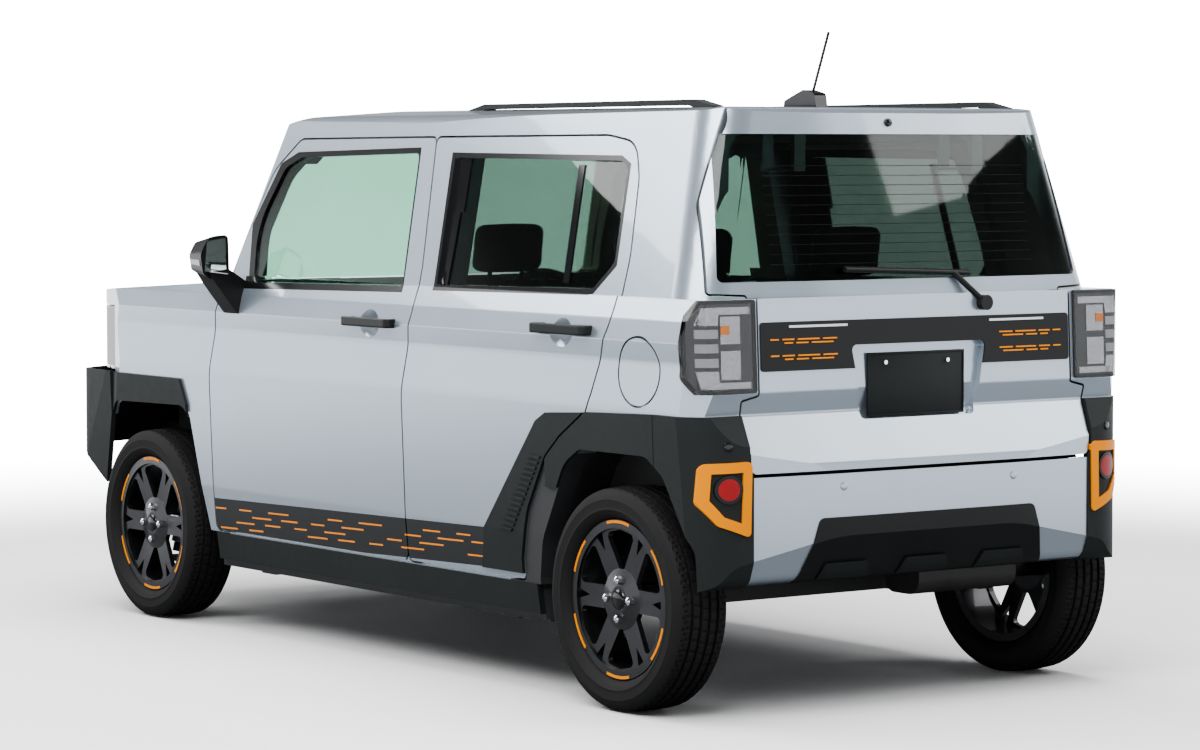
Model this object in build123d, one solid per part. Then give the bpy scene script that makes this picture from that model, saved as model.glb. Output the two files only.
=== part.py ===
from build123d import *
import os
from math import radians, sin, tan, hypot

os.makedirs("parts", exist_ok=True)

# Whole vehicle, mm. Front is -Y, the vehicle's left is +X, the ground is Z = 0.
front_axle_y = -1155.0
wheelbase = 2460.0
rear_axle_y = front_axle_y + wheelbase
axle_z = 290.0
wheel_x = 650.0
shut_gap = 5.6
hem_depth = 7.0
hem_width = 34.0

# Panel depths, measured in from the outer surface
skin_depth = 20.0
frame_depth = 46.0
door_depth = 92.0
pillar_start = 98.0
pillar_depth = 135.0
side_depth = 60.0
fender_depth = 9.0
cover_depth = 14.0
roof_depth = 38.0
bonnet_depth = 18.0
bumper_depth = 16.0
glass_start = 7.0
glass_depth = 12.0

belt_z = 1068.0
# Lower body, seen along the vehicle (x, z, corner radius), left half
section_half = [
    (688, 0, 0), (690, 214, 15), (702, 300, 60), (714, 430, 200), (729, 790, 250),
    (721, 900, 120), (728, 958, 8), (716, 1012, 40), (697, belt_z, 30), (652, 1320, 0),
]
# Lower body from the side (y, z, corner radius)
side_low = [
    (-1500, 0, 0), (1500, 0, 0), (1590, 335, 40), (1655, 360, 30), (1692, 470, 40),
    (1697.5, 600, 25), (1690, 650, 20), (1640, 776, 15), (1653, 832, 30), (1642, belt_z, 0),
    (-690, belt_z, 0), (-745, 1046, 60), (-1545, 1000, 120), (-1642, 955, 45), (-1672, 850, 80),
    (-1690, 700, 100), (-1690, 480, 60), (-1640, 300, 50), (-1560, 262, 40),
]
# Lower body from above (x, y, corner radius), front centre to rear centre
plan_half = [
    (320, -1690, 600), (570, -1640, 200), (676, -1515, 140), (744, -1270, 150),
    (744, 1250, 0), (741, 1668, 152), (300, 1695, 1500),
]
# The bumpers stand further out at the front corners
plan_bumper_half = [
    (330, -1701, 600), (600, -1672, 220), (718, -1590, 90), (737.5, -1330, 300),
    (746, -900, 0), (746, 1250, 0), (741, 1668, 152), (300, 1697.5, 1500),
]
# Greenhouse from above at two heights (x, y, corner radius)
green_z = (1040.0, 1480.0)
green_low = [(420, -800, 600), (692, -745, 60), (703, 300, 3000), (686, 1592, 110), (290, 1626, 1500)]
green_high = [(370, -602, 600), (612, -548, 60), (622, 300, 3000), (568, 1530, 110), (250, 1550, 1500)]
# Roof from the side, and along the vehicle
roof_side = [
    (-1000, 600, 0), (1900, 600, 0), (1900, 1380, 0), (1556, 1532, 30), (1470, 1556, 300),
    (700, 1566, 3000), (100, 1558, 1500), (-400, 1536, 300), (-560, 1506, 80), (-700, 1440, 0),
    (-1000, 1300, 0),
]
roof_half = [(760, 600, 0), (760, 1370, 0), (596, 1534, 60), (500, 1552, 200)]

# Side outlines (y, z, corner radius)
front_door = [
    (-770, 300, 25), (298, 300, 25), (300, 760, 200), (345, 1000, 120), (348, 1120, 200),
    (322, 1477, 20), (-410, 1473, 60), (-540, 1382, 150), (-666, 1150, 250), (-722, 985, 200),
    (-768, 760, 300),
]
rear_door = [
    (298, 300, 25), (876, 300, 15), (876, 360, 60), (912, 490, 150), (1003, 640, 60),
    (1074, 698, 60), (1180, 762, 40), (1206, 815, 80), (1281, 1010, 200), (1284, 1170, 300),
    (1254, 1370, 100), (1213, 1462, 80), (1090, 1480, 150), (322, 1477, 20), (348, 1120, 200),
    (345, 1000, 120), (300, 760, 200),
]
front_window = [
    (-562, 1050, 30), (262, 1064, 12), (247, 1432, 15), (-396, 1419, 30), (-480, 1388, 60),
    (-590, 1215, 200),
]
rear_window = [
    (440, 1072, 15), (1150, 1082, 30), (1222, 1150, 30), (1198, 1398, 25), (1166, 1413, 25),
    (430, 1420, 20),
]
front_arch = [
    (-1440, 150, 0), (-800, 150, 0), (-800, 280, 0), (-905, 668, 55), (-1375, 660, 70),
    (-1440, 390, 40),
]
rear_arch = [
    (938, 150, 0), (1640, 150, 0), (1628, 440, 60), (1520, 620, 60), (1450, 668, 60),
    (1160, 668, 50), (1088, 628, 120), (966, 414, 150), (943, 311, 30),
]
approach_cut = [
    (-1800, 100, 0), (-1380, 100, 0), (-1395, 392, 0), (-1440, 398, 30), (-1600, 500, 40),
    (-1800, 520, 0),
]
approach_x = 480.0
middle_pillar = [(262, 1050, 0), (382, 1050, 0), (376, 1490, 0), (276, 1490, 0)]
front_flare_outline = [(-1385, 600, 0), (-905, 600, 0), (-905, 672, 5), (-940, 748, 12), (-1385, 748, 0)]
rear_flare_outline = [(1000, 560, 0), (1483, 560, 0), (1483, 776, 0), (1186, 766, 10), (1000, 700, 0)]
door_flare_outline = [
    (680, 318, 0), (905, 318, 0), (1230, 640, 0), (1230, 767, 0), (1009, 755, 15), (963, 731, 15),
    (703, 430, 10),
]

# Rear outlines (x, z, corner radius), left half
tailgate_half = [
    (-60, 627, 0), (572, 627, 20), (580, 812, 8), (527, 824, 8), (527, 1074, 8), (634, 1078, 8),
    (590, 1440, 60), (590, 1600, 0), (-60, 1600, 0),
]
tail_lamp = [(538, 832, 8), (760, 832, 0), (760, 1067, 0), (538, 1067, 8)]
tail_lamp_side = [
    (1592, 876, 10), (1630, 830, 10), (1800, 830, 0), (1800, 1069, 0), (1628, 1069, 10),
    (1592, 1030, 10),
]
rear_glass_half = [(-60, 1108, 0), (606, 1108, 14), (556, 1482, 25), (-60, 1482, 0)]
garnish_half = [(-60, 884, 0), (520, 884, 10), (520, 1008, 10), (-60, 1008, 0)]
plate_recess_half = [(-60, 752, 0), (190, 752, 15), (228, 944, 15), (-60, 944, 0)]
bezel_outline = [(578, 472, 10), (668, 505, 20), (712, 560, 20), (706, 660, 20), (574, 664, 15)]
insert_half = [(-60, 330, 0), (420, 330, 0), (360, 510, 20), (-60, 510, 0)]
screen_half = [(-60, 1052, 0), (632, 1052, 25), (560, 1490, 30), (-60, 1498, 0)]

# Shut lines and lamp places
tailgate_top_y = 1500.0
bonnet_rear_y = -850.0
bonnet_half_x = 600.0
bonnet_front_z = 956.0
roof_half_x = 505.0
headlamp_z = (756.0, 953.0)
headlamp_x = 420.0
headlamp_side_y = -1385.0
grille_z = (756.0, 950.0)
grille_bars = (790.0, 835.0, 880.0, 925.0)
front_bumper_top_z = 750.0
rear_bumper_z = (345.0, 621.0)
rear_bumper_half_x = 566.0
corner_top_z = 776.0
corner_front_y = 1483.0
flare_proud = 9.0
sill_cover_z = (214.0, 294.0)
fuel_lid = dict(y=1410.0, z=880.0, radius=86.0, depth=6.0, pocket=34.0)
lid_hinge = dict(x=704.3, y=1300.4, radius=5.0, pin=2.5, arm_in=28.0, arm_y=1348.0, box_x=(667.0, 716.0))
plate_bolts = dict(half_spacing=105.0, z=895.0, boss_y=1636.0, boss_radius=14.0, hole_radius=3.0, depth=22.0)
plate_recess_depth = 18.0
jack_pad = dict(x=(606.0, 646.0), half_length=40.0, z=182.0, places=(-560.0, 720.0))
front_handle = (142.0, 960.0)
rear_handle = (1080.0, 977.0)
cup_radius = 54.0
cup_depth = 14.0
mirror_y = (-700.0, -600.0)
mirror_outline = [
    (752, 1066, 12), (800, 1052, 30), (842, 1076, 30), (850, 1136, 40), (822, 1186, 35), (756, 1192, 14),
]
mirror_stem = [(690, 960, 0), (732, 957, 8), (806, 1050, 10), (828, 1082, 0), (760, 1090, 0), (690, 1046, 0)]
wiper_pivot = (-222.0, 1042.0)
wiper_blade = ((-195.0, 1620.0, 1120.0), (225.0, 1620.0, 1136.0))
fog_lamp = dict(x=639.0, z=595.0, radius=36.0)

# Hinges
door_hinges = [
    dict(axis_x=696.0, axis_y=-812.0, heights=(540.0, 730.0), arm_in=50.0, arm_y=-690.0, leaf_x=600.0,
         box_end=222.0),
    dict(axis_x=697.0, axis_y=252.0, heights=(540.0, 730.0), arm_in=50.0, arm_y=372.0, leaf_x=600.0,
         box_end=2000.0),
]
hinge_radius = 8.0
hinge_pin = 4.0
hinge_play = 0.06
hinge_height = 24.0
tailgate_axis = (1392.0, 1500.0)
tailgate_hinge_x = 300.0
tailgate_neck = 110.0
tailgate_sweep = 118.2
bonnet_axis = (-806.0, 1015.0)
bonnet_hinge_x = 480.0

# Wheels, suspension and cabin
tyre_radius = 290.0
tyre_half = 83.0
rim_radius = 206.0
rim_half = 62.0
spoke_count = 6
kingpin_top = (478.0, 812.0)
kingpin_low = (618.0, 212.0)
floor_z = (200.0, 226.0)
rear_floor_z = (420.0, 445.0)
rear_step_y = 860.0
well_x = 546.0
steering_place = (-300.0, -430.0, 900.0)
steering_normal = (0.0, 0.92, 0.39)


def inset(points, depth):
    count = len(points)
    result = []
    for i in range(count):
        ax, ay, _ = points[i - 1]
        bx, by, radius = points[i]
        cx, cy, _ = points[(i + 1) % count]
        ux, uy = bx - ax, by - ay
        vx, vy = cx - bx, cy - by
        ul, vl = hypot(ux, uy), hypot(vx, vy)
        ux, uy, vx, vy = ux / ul, uy / ul, vx / vl, vy / vl
        cross = ux * vy - uy * vx
        scale = depth / (1 + ux * vx + uy * vy)
        px = bx + scale * (-uy - vy)
        py = by + scale * (ux + vx)
        if radius > 0:
            radius = max(radius - depth, 0) if cross > 0 else radius + depth
        result.append((px, py, radius))
    return result


def face_of(points):
    count = len(points)
    corners = []
    for i in range(count):
        a = Vector(points[i - 1][0], points[i - 1][1])
        b = Vector(points[i][0], points[i][1])
        c = Vector(points[(i + 1) % count][0], points[(i + 1) % count][1])
        radius = points[i][2] if len(points[i]) > 2 else 0
        u = (a - b).normalized()
        v = (c - b).normalized()
        half = radians(u.get_angle(v)) / 2
        if radius <= 0.01 or half > radians(89.9):
            corners.append((b, None, b))
            continue
        reach = radius / tan(half)
        reach = min(reach, 0.48 * (a - b).length, 0.48 * (c - b).length)
        radius = reach * tan(half)
        middle = b + (u + v).normalized() * (radius / sin(half))
        corners.append((b + u * reach, middle + (b - middle).normalized() * radius, b + v * reach))
    edges = []
    for i in range(count):
        start, middle, end = corners[i]
        follow = corners[(i + 1) % count][0]
        if middle is not None:
            edges.append(Edge.make_three_point_arc(start, middle, end))
        if (follow - end).length > 1e-4:
            edges.append(Edge.make_line(end, follow))
    return Face(Wire(edges))


def along_x(points, x0=300, x1=800):
    return extrude(Plane.YZ.offset(x0) * face_of(points), amount=x1 - x0)


def along_y(points, y0, y1):
    return extrude(Plane.XZ.offset(-y1) * face_of(points), amount=y1 - y0)


def along_z(points, z0, z1):
    return extrude(Plane.XY.offset(z0) * face_of(points), amount=z1 - z0)


def block(x0, x1, y0, y1, z0, z1):
    box = Box(x1 - x0, y1 - y0, z1 - z0)
    return Pos((x0 + x1) / 2, (y0 + y1) / 2, (z0 + z1) / 2) * box


def rod(start, end, radius):
    a, b = Vector(*start), Vector(*end)
    bar = Cylinder(radius, (b - a).length, align=(Align.CENTER, Align.CENTER, Align.MIN))
    return Plane(a, z_dir=b - a) * bar


def flip(shape):
    return mirror(shape, about=Plane.YZ)


def whole(half_shape):
    return half_shape + flip(half_shape)


def green_level(z, depth):
    share = (z - green_z[0]) / (green_z[1] - green_z[0])
    half = []
    for low, high in zip(green_low, green_high):
        half.append((low[0] + share * (high[0] - low[0]), low[1] + share * (high[1] - low[1]), low[2]))
    half = inset(half + [(-x, y, r) for x, y, r in reversed(half)], depth)[: len(half)]
    return Pos(0, 0, z) * face_of([(-60, half[0][1], 0)] + half + [(-60, half[-1][1], 0)])


hulls = {}


def half_points(half, depth):
    count = len(half)
    closed = half + [(-a, b, r) for a, b, r in reversed(half)]
    moved = inset(closed, depth)[:count]
    return [(-60, moved[0][1], 0)] + moved + [(-60, moved[-1][1], 0)]


def hull(depth):
    if depth not in hulls:
        profile = inset(side_low, depth)
        profile = [(p[0], belt_z if s[1] == belt_z else p[1], p[2]) for p, s in zip(profile, side_low)]
        low = along_x(profile, 0, 800)
        low = low & along_y(half_points(section_half, depth), -1800, 1800)
        low = low & along_z(half_points(plan_half, depth), -50, 1200)
        top = loft([green_level(955, depth), green_level(1600, depth)], ruled=True)
        top = top & along_x(inset(roof_side, depth), 0, 800)
        top = top & along_y(half_points(roof_half, depth), -1800, 1900)
        hulls[depth] = low + top
    return hulls[depth]


bumper_hulls = {}


def bumper_hull(depth):
    if depth not in bumper_hulls:
        shape = along_x(inset(side_low, depth - 7.5), 0, 800)
        shape = shape & along_y(half_points(section_half, depth - 4), -1800, 1800)
        bumper_hulls[depth] = shape & along_z(half_points(plan_bumper_half, depth), -50, 1200)
    return bumper_hulls[depth]


def bumper_layer(outer, inner, region):
    return (bumper_hull(outer) & region) - bumper_hull(inner)


def layer(outer, inner, region):
    return (hull(outer) & region) - hull(inner)


parts = {}


def add(name, shape):
    solids = [s for s in shape.solids() if s.volume > 400]
    parts[name] = solids[0] if len(solids) == 1 else Compound(children=solids)


def add_pair(name, shape):
    add(name + "_left", shape)
    add(name + "_right", flip(shape))


# Hinges: a barrel on the axis and a swan-neck arm that clears the neighbouring panel's edge
def door_arm(hinge):
    pieces = []
    x, y = hinge["axis_x"], hinge["axis_y"]
    for low in hinge["heights"]:
        high = low + hinge_height
        inner_x = x - hinge["arm_in"]
        piece = rod((x, y, low), (x, y, high), hinge_radius)
        piece = piece + block(inner_x - 4, x, y - 4, y + 4, low, high)
        piece = piece + block(inner_x - 4, inner_x + 4, y - 4, hinge["arm_y"], low, high)
        pieces.append(piece - rod((x, y, low - 1), (x, y, high + 1), hinge_pin + hinge_play))
    return pieces


def pillar_leaf(hinge):
    pieces = []
    x, y = hinge["axis_x"], hinge["axis_y"]
    for arm_low in hinge["heights"]:
        low = arm_low + hinge_height + 1
        high = low + hinge_height
        piece = rod((x, y, low), (x, y, high), hinge_radius) + rod((x, y, arm_low), (x, y, high), hinge_pin)
        pieces.append(piece + block(hinge["leaf_x"], x, y - 4, y + 4, low, high))
    return pieces


# Side doors: a full outer skin, a deep box below the belt and a thin frame round the glass
def make_door(outline, window, hinge):
    edge = along_x(inset(outline, shut_gap / 2))
    box_region = along_x(inset(outline, 46)) & block(300, 800, -2000, hinge["box_end"], 0, 1046)
    frame_region = along_x(inset(outline, 30)) & block(300, 800, -2000, 2000, 1030, 1600)
    door = layer(0, skin_depth, edge)
    door = door + layer(skin_depth - 1, door_depth, box_region)
    door = door + layer(skin_depth - 1, frame_depth, frame_region)
    low_part = block(300, 800, -2000, 2000, 290, 1060)
    hem = (edge - Pos(0, hem_width, 0) * edge) & low_part
    door = door - along_x(window) - layer(hem_depth, frame_depth, hem)
    if hinge["box_end"] < 1000:
        tail_strip = (edge - Pos(0, -80, 0) * edge) & low_part
        door = door - layer(hem_depth, frame_depth, tail_strip)
    for piece in door_arm(hinge):
        door = door + piece
    return door


def handle(place):
    y, z = place
    grip = block(700, 756, y - 125, y + 125, z - 13, z + 13)
    grip = fillet(grip.edges().filter_by(Axis.Z), 18)
    grip = fillet(grip.edges().group_by(Axis.X)[-1], 5)
    return (grip - block(700, 742, y - 88, y + 66, z - 20, z + 20)) - hull(0)


def handle_cup(place):
    y, z = place
    ball = (cup_radius ** 2 + cup_depth ** 2) / (2 * cup_depth)
    return Pos(728 + ball - cup_depth, y - 9, z) * Sphere(ball)


def mirror_unit():
    stem = along_y(mirror_stem, -668, -590)
    back_face = Plane.XZ.offset(-mirror_y[1]) * face_of(mirror_outline)
    front_face = Plane.XZ.offset(-mirror_y[0]) * face_of(inset(mirror_outline, 18))
    return (stem + loft([back_face, front_face], ruled=True)) - hull(0)


front_left = make_door(front_door, front_window, door_hinges[0])
rear_left = make_door(rear_door, rear_window, door_hinges[1])
add_pair("front_door", front_left - handle_cup(front_handle))
add_pair("rear_door", rear_left - handle_cup(rear_handle))
add_pair("front_door_glass", layer(glass_start, glass_depth, along_x(front_window)))
add_pair("rear_door_glass", layer(glass_start, glass_depth, along_x(rear_window)))
add_pair("front_door_fittings", mirror_unit() + handle(front_handle))
door_flare = layer(-flare_proud, 0, along_x(door_flare_outline) & along_x(inset(rear_door, shut_gap / 2)))
add_pair("rear_door_fittings", handle(rear_handle) + door_flare)

# Body side ring: pillars, rocker, quarter panel and roof side rail
door_holes = along_x(inset(front_door, -shut_gap / 2)) + along_x(inset(rear_door, -shut_gap / 2))
screen_region = along_y(screen_half, -1000, -450)
tail_lamp_region = along_y(tail_lamp, 1500, 1800) & along_x(tail_lamp_side, 500, 800)


def tailgate_region(grow):
    return along_y(inset(tailgate_half, -grow), tailgate_top_y - grow, 1900)


def build_side():
    ring = layer(0, side_depth, block(roof_half_x, 800, -770, 1700, 150, 1700))
    ring = ring - block(300, 800, -900, -690, 100, 1047) - door_holes - screen_region
    ring = ring - tailgate_region(shut_gap / 2) - tail_lamp_region - along_x(rear_arch)
    ring = ring - block(300, 800, -900, 1000, 100, sill_cover_z[1])
    ring = ring - block(300, 800, corner_front_y, 1800, 100, corner_top_z)
    inner_doors = along_x(inset(front_door, 38)) + along_x(inset(rear_door, 38))
    around = along_x(inset(front_door, -22)) + along_x(inset(rear_door, -22))
    band = layer(
        frame_depth + 6, door_depth, (around - inner_doors) & block(300, 800, -740, 1400, 1030, 1700),
    )
    rear_band = (along_x(inset(rear_door, -24)) - inner_doors) & block(300, 800, 700, 1400, 200, 1024)
    rear_band = layer(skin_depth + 6, door_depth, rear_band) - along_x(rear_arch)
    low_middle = layer(pillar_start, pillar_depth, block(300, 800, 215, 352, 250, 1090))
    high_middle = layer(frame_depth + 6, pillar_depth, along_x(middle_pillar))
    post = layer(pillar_start, pillar_depth, block(300, 800, -830, -760, 240, 1040))
    foot = layer(
        fender_depth, pillar_depth,
        along_x([(-800, 960), (-745, 960), (-700, 1130), (-740, 1130)], 612),
    )
    rocker = layer(skin_depth + 6, pillar_depth, block(300, 800, -795, 930, 190, 338))
    rocker = rocker + layer(cover_depth, skin_depth + 7, block(300, 800, -765, 930, 200, sill_cover_z[1]))
    side = (
        ring + band + rear_band + low_middle + high_middle + post + foot + rocker - along_x(rear_arch)
        - screen_region
    )
    for hinge in door_hinges:
        for piece in pillar_leaf(hinge):
            side = side + piece
    for pad_y in jack_pad["places"]:
        low, high = pad_y - jack_pad["half_length"], pad_y + jack_pad["half_length"]
        side = side + block(*jack_pad["x"], low, high, jack_pad["z"], 192)
    return side


lid_place = Pos(0, fuel_lid["y"], fuel_lid["z"]) * Rot(0, 90, 0)
lid_zone = block(500, 800, 1200, 1600, 600, 1200)
side_left = build_side()
side_right = flip(side_left)
lid_pocket = lid_place * Cylinder(fuel_lid["radius"] + shut_gap, 1600) & lid_zone
lid_pocket = layer(-flare_proud, fuel_lid["pocket"], lid_pocket)
side_left = side_left - lid_pocket
lid = layer(0, fuel_lid["depth"], lid_place * Cylinder(fuel_lid["radius"], 1600) & lid_zone)


# The lid's goose-neck hinge turns in a small box behind the skin
def lid_goose_neck(shape, side):
    x, y, z = lid_hinge["x"], lid_hinge["y"], fuel_lid["z"]
    deep = x - lid_hinge["arm_in"]
    end = lid_hinge["arm_y"]
    box_low, box_high = lid_hinge["box_x"]
    side = side - block(box_low, box_high, y - 12, end + 14, z - 16, z + 16)
    side = side + rod((x, y, z - 20), (x, y, z + 20), lid_hinge["pin"])
    arm = rod((x, y, z - 10), (x, y, z + 10), lid_hinge["radius"])
    arm = arm + block(deep - 3, x, y - 3, y + 3, z - 10, z + 10)
    arm = arm + block(deep - 3, deep + 3, y - 3, end, z - 10, z + 10)
    arm = arm + block(deep - 3, box_high + 2, end - 6, end, z - 10, z + 10)
    arm = arm - rod((x, y, z - 20), (x, y, z + 20), lid_hinge["pin"] + hinge_play)
    return shape + arm, side


lid, side_left = lid_goose_neck(lid, side_left)
add("side_frame_left", side_left)
add("side_frame_right", side_right)
add("fuel_lid", lid)

# Roof, glass, bonnet and front panels
roof = (
    layer(0, roof_depth, block(0, roof_half_x, -700, tailgate_top_y - shut_gap / 2, 1400, 1700))
    - screen_region
)
add("windscreen", whole(layer(4, 10, screen_region)))

bonnet_region = block(0, bonnet_half_x, -1700, bonnet_rear_y - shut_gap / 2, bonnet_front_z, 1100)
bonnet = layer(0, bonnet_depth, bonnet_region)
bonnet = bonnet - layer(10, roof_depth, block(0, 800, -885, -800, 900, 1100))
cowl = layer(0, 14, block(0, bonnet_half_x + shut_gap, bonnet_rear_y + shut_gap / 2, -720, 1010, 1047))
fender = layer(0, fender_depth, block(300, 800, -1800, -690, 150, 1047))
fender = fender - along_x(front_arch) - along_x(inset(front_door, -shut_gap / 2))
fender = fender - block(0, bonnet_half_x + shut_gap, -1800, -600, 940, 1100)
fender = fender - block(0, 800, -1800, headlamp_side_y, 0, bonnet_front_z)
fender = fender - block(0, 800, -1800, 0, 0, 296) - block(0, 420, -1800, 0, 0, 1100)
add_pair("front_fender", fender)

lamp_region = block(headlamp_x, 800, -1800, headlamp_side_y, headlamp_z[0], headlamp_z[1])
headlamp = layer(0, 70, lamp_region)
add("headlamps", headlamp + flip(headlamp))
grille_region = block(0, headlamp_x, -1800, -1500, grille_z[0], grille_z[1])
grille = layer(skin_depth + 6, roof_depth, grille_region)
for bar_z in grille_bars:
    grille = grille + layer(4, skin_depth + 8, block(0, headlamp_x, -1800, -1500, bar_z - 9, bar_z + 9))
add("front_grille", whole(grille))

front_bumper = bumper_layer(0, bumper_depth, block(0, 800, -1800, headlamp_side_y, 250, front_bumper_top_z))
front_bumper = front_bumper - along_x(front_arch) - block(-1, 420, -1800, -1500, 360, 470)
front_bumper = front_bumper - along_x(approach_cut, approach_x)
add("front_bumper", whole(front_bumper))

# Rear bumper with its dark corners, orange lamp frames and round lamps
insert_region = along_y(insert_half, 1600, 1800)
rear_bumper = bumper_layer(0, bumper_depth, block(0, rear_bumper_half_x, 1440, 1800, *rear_bumper_z))
add("rear_bumper", whole(rear_bumper - insert_region))
insert = bumper_layer(-4, bumper_depth, insert_region & block(0, 800, 1600, 1800, *rear_bumper_z))
add("rear_bumper_insert", whole(insert))
corner_region = block(rear_bumper_half_x, 800, corner_front_y, 1800, 330, corner_top_z)
corner = bumper_layer(-4, bumper_depth, corner_region)
corner = corner - along_x(rear_arch) - tailgate_region(shut_gap / 2) - tail_lamp_region
bezel_region = along_y(bezel_outline, 1500, 1800) - along_y(inset(bezel_outline, 26), 1500, 1800)
bezel = bumper_layer(-9, 6, bezel_region)
corner = corner - bezel
fog = rod((fog_lamp["x"], 1500, fog_lamp["z"]), (fog_lamp["x"], 1800, fog_lamp["z"]), fog_lamp["radius"])
fog = bumper_layer(-9, -4, fog)
add("rear_corner_cladding", corner + flip(corner))
add("rear_lamp_frames", bezel + flip(bezel))
add("rear_fog_lamps", fog + flip(fog))

# Cladding over the arches and sills
front_flare = layer(-flare_proud, 0, along_x(front_flare_outline) - along_x(front_arch))
rear_flare = layer(-flare_proud, 0, along_x(rear_flare_outline) - along_x(rear_arch))
rear_flare = rear_flare - along_x(inset(rear_door, -shut_gap / 2))
add("arch_flares", front_flare + rear_flare + flip(front_flare) + flip(rear_flare))
sill = (
    layer(-4, cover_depth, block(300, 800, -765, 930, sill_cover_z[0], sill_cover_z[1]))
    - along_x(rear_arch)
)
add("sill_covers", sill + flip(sill))

# Tailgate, its glass, garnish and wiper
lamp = (hull(-9) & tail_lamp_region) - hull(50)
add("tail_lamps", lamp + flip(lamp))
tail_inner = inset(tailgate_half, 44)
tailgate = layer(0, skin_depth, tailgate_region(-shut_gap / 2))
tail_box = layer(skin_depth - 1, 64, along_y(tail_inner, tailgate_top_y + 42, 1900))
top_hem = block(0, 800, tailgate_top_y - 10, tailgate_top_y + 36, 1480, 1600)
tailgate = tailgate - layer(12, frame_depth, top_hem)
tailgate = tailgate + tail_box - along_y(rear_glass_half, 1500, 1900)
tail_glass = layer(4, 10, along_y(rear_glass_half, 1500, 1900))
recess = along_y(plate_recess_half, 1500, 1900)
garnish = layer(-4, 0, along_y(garnish_half, 1500, 1900)) - recess
tailgate = tailgate - (recess - hull(plate_recess_depth))
boss_x, boss_z, boss_y = plate_bolts["half_spacing"], plate_bolts["z"], plate_bolts["boss_y"]
boss = rod((boss_x, boss_y - 40, boss_z), (boss_x, boss_y, boss_z), plate_bolts["boss_radius"])
bolt_hole = rod(
    (boss_x, boss_y - plate_bolts["depth"], boss_z), (boss_x, boss_y + 9, boss_z),
    plate_bolts["hole_radius"],
)
tailgate = tailgate + boss - bolt_hole
sweep_end = (800, tailgate_axis[0], tailgate_axis[1])
tailgate = tailgate - rod((-1, tailgate_axis[0], tailgate_axis[1]), sweep_end, tailgate_sweep)


def swan_arm(axis, x, back, low):
    y, z = axis
    turn = 1 if back > y else -1
    piece = rod((x - 18, y, z), (x + 18, y, z), hinge_radius)
    piece = piece + block(x - 18, x + 18, y - 4, y + 4, z - low, z)
    piece = (
        piece
        + block(x - 18, x + 18, min(y - 4 * turn, back), max(y - 4 * turn, back), z - low - 4, z - low + 4)
    )
    return piece - rod((x - 30, y, z), (x + 30, y, z), hinge_pin + hinge_play)


def fixed_pin(axis, x, top):
    y, z = axis
    piece = rod((x - 42, y, z), (x + 20, y, z), hinge_pin) + rod((x - 42, y, z), (x - 19, y, z), hinge_radius)
    return piece + block(x - 42, x - 19, y - 5, y + 5, min(z, top), max(z, top))


tail_arm = swan_arm(tailgate_axis, tailgate_hinge_x, 1528, tailgate_neck)
neck_z = tailgate_axis[1] - tailgate_neck - 4
tail_lift = block(tailgate_hinge_x - 18, tailgate_hinge_x + 18, 1512, 1528, neck_z, 1560) & hull(4)
tail_arm = tail_arm + tail_lift
add("tailgate", whole(tailgate + tail_arm))
add("tailgate_glass", whole(tail_glass))
pivot_x, pivot_z = wiper_pivot
blade_mid = (wiper_blade[0][0] + 55, wiper_blade[0][1], wiper_blade[0][2] + 2)
wiper = rod((pivot_x, 1600, pivot_z), (pivot_x, 1664, pivot_z), 20)
wiper = wiper + rod((pivot_x, 1655, pivot_z), blade_mid, 8) + rod(wiper_blade[0], wiper_blade[1], 8)
add("tailgate_garnish", whole(garnish))
add("rear_wiper", wiper - flip(hull(0)) - hull(0))
add("roof_panel", whole(roof + fixed_pin(tailgate_axis, tailgate_hinge_x, 1536)))

bonnet_lift = block(bonnet_hinge_x - 18, bonnet_hinge_x + 18, -930, -898, 972, 1060) & hull(4)
bonnet = bonnet + swan_arm(bonnet_axis, bonnet_hinge_x, -905, 39) + bonnet_lift
add("bonnet", whole(bonnet))

# Structure under the skin
floor = (
    block(0, 640, -800, rear_step_y, *floor_z)
    + block(0, 640, rear_step_y - 20, rear_step_y, floor_z[0], rear_floor_z[1])
)
floor = (floor + block(0, 640, rear_step_y, 1560, *rear_floor_z)) & hull(pillar_depth)
load_floor = block(0, 700, rear_step_y - 20, 1560, *rear_floor_z) & hull(side_depth)
load_floor = load_floor & block(0, 700, 930, 1560, 0, 2000)
floor = floor + load_floor
well = (along_x(inset(rear_arch, -6), well_x, 700) - along_x(rear_arch, well_x + 6, 720)) & hull(side_depth)
well = well & block(0, 800, 900, 1560, floor_z[1], 900) - block(0, well_x + 7, 900, 1700, 0, rear_floor_z[0])
floor = floor - along_x(inset(rear_arch, -6), well_x, 800) + well
floor = floor + (block(0, 400, 1530, 1556, rear_floor_z[0], 620) & hull(side_depth))
floor = floor + (block(180, 260, 1550, 1700, 480, 560) & bumper_hull(bumper_depth))
add("floor_pan", whole(floor))

bulkhead = block(0, 700, -796, -768, floor_z[1], 1036) & hull(pillar_depth)
bulkhead = bulkhead + cowl + (block(0, 600, -796, -780, 1000, 1046) & hull(4))
bulkhead = bulkhead + block(386, 400, -1540, -790, 330, 900) + block(0, 400, -1540, -1515, 330, 380)
bulkhead = bulkhead + (block(0, 400, -1660, -1515, 860, 890) & hull(roof_depth))
bulkhead = bulkhead + (block(320, 386, -1700, -1515, 500, 560) & bumper_hull(bumper_depth))
bulkhead = bulkhead + fixed_pin(bonnet_axis, bonnet_hinge_x, 1034)
top_x, top_z = kingpin_top
low_x, low_z = kingpin_low
lean = Vector(top_x - low_x, 0, top_z - low_z).normalized()
low_point = Vector(low_x, front_axle_y, low_z)


def on_pin(distance):
    return tuple(low_point + lean * distance)


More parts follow.
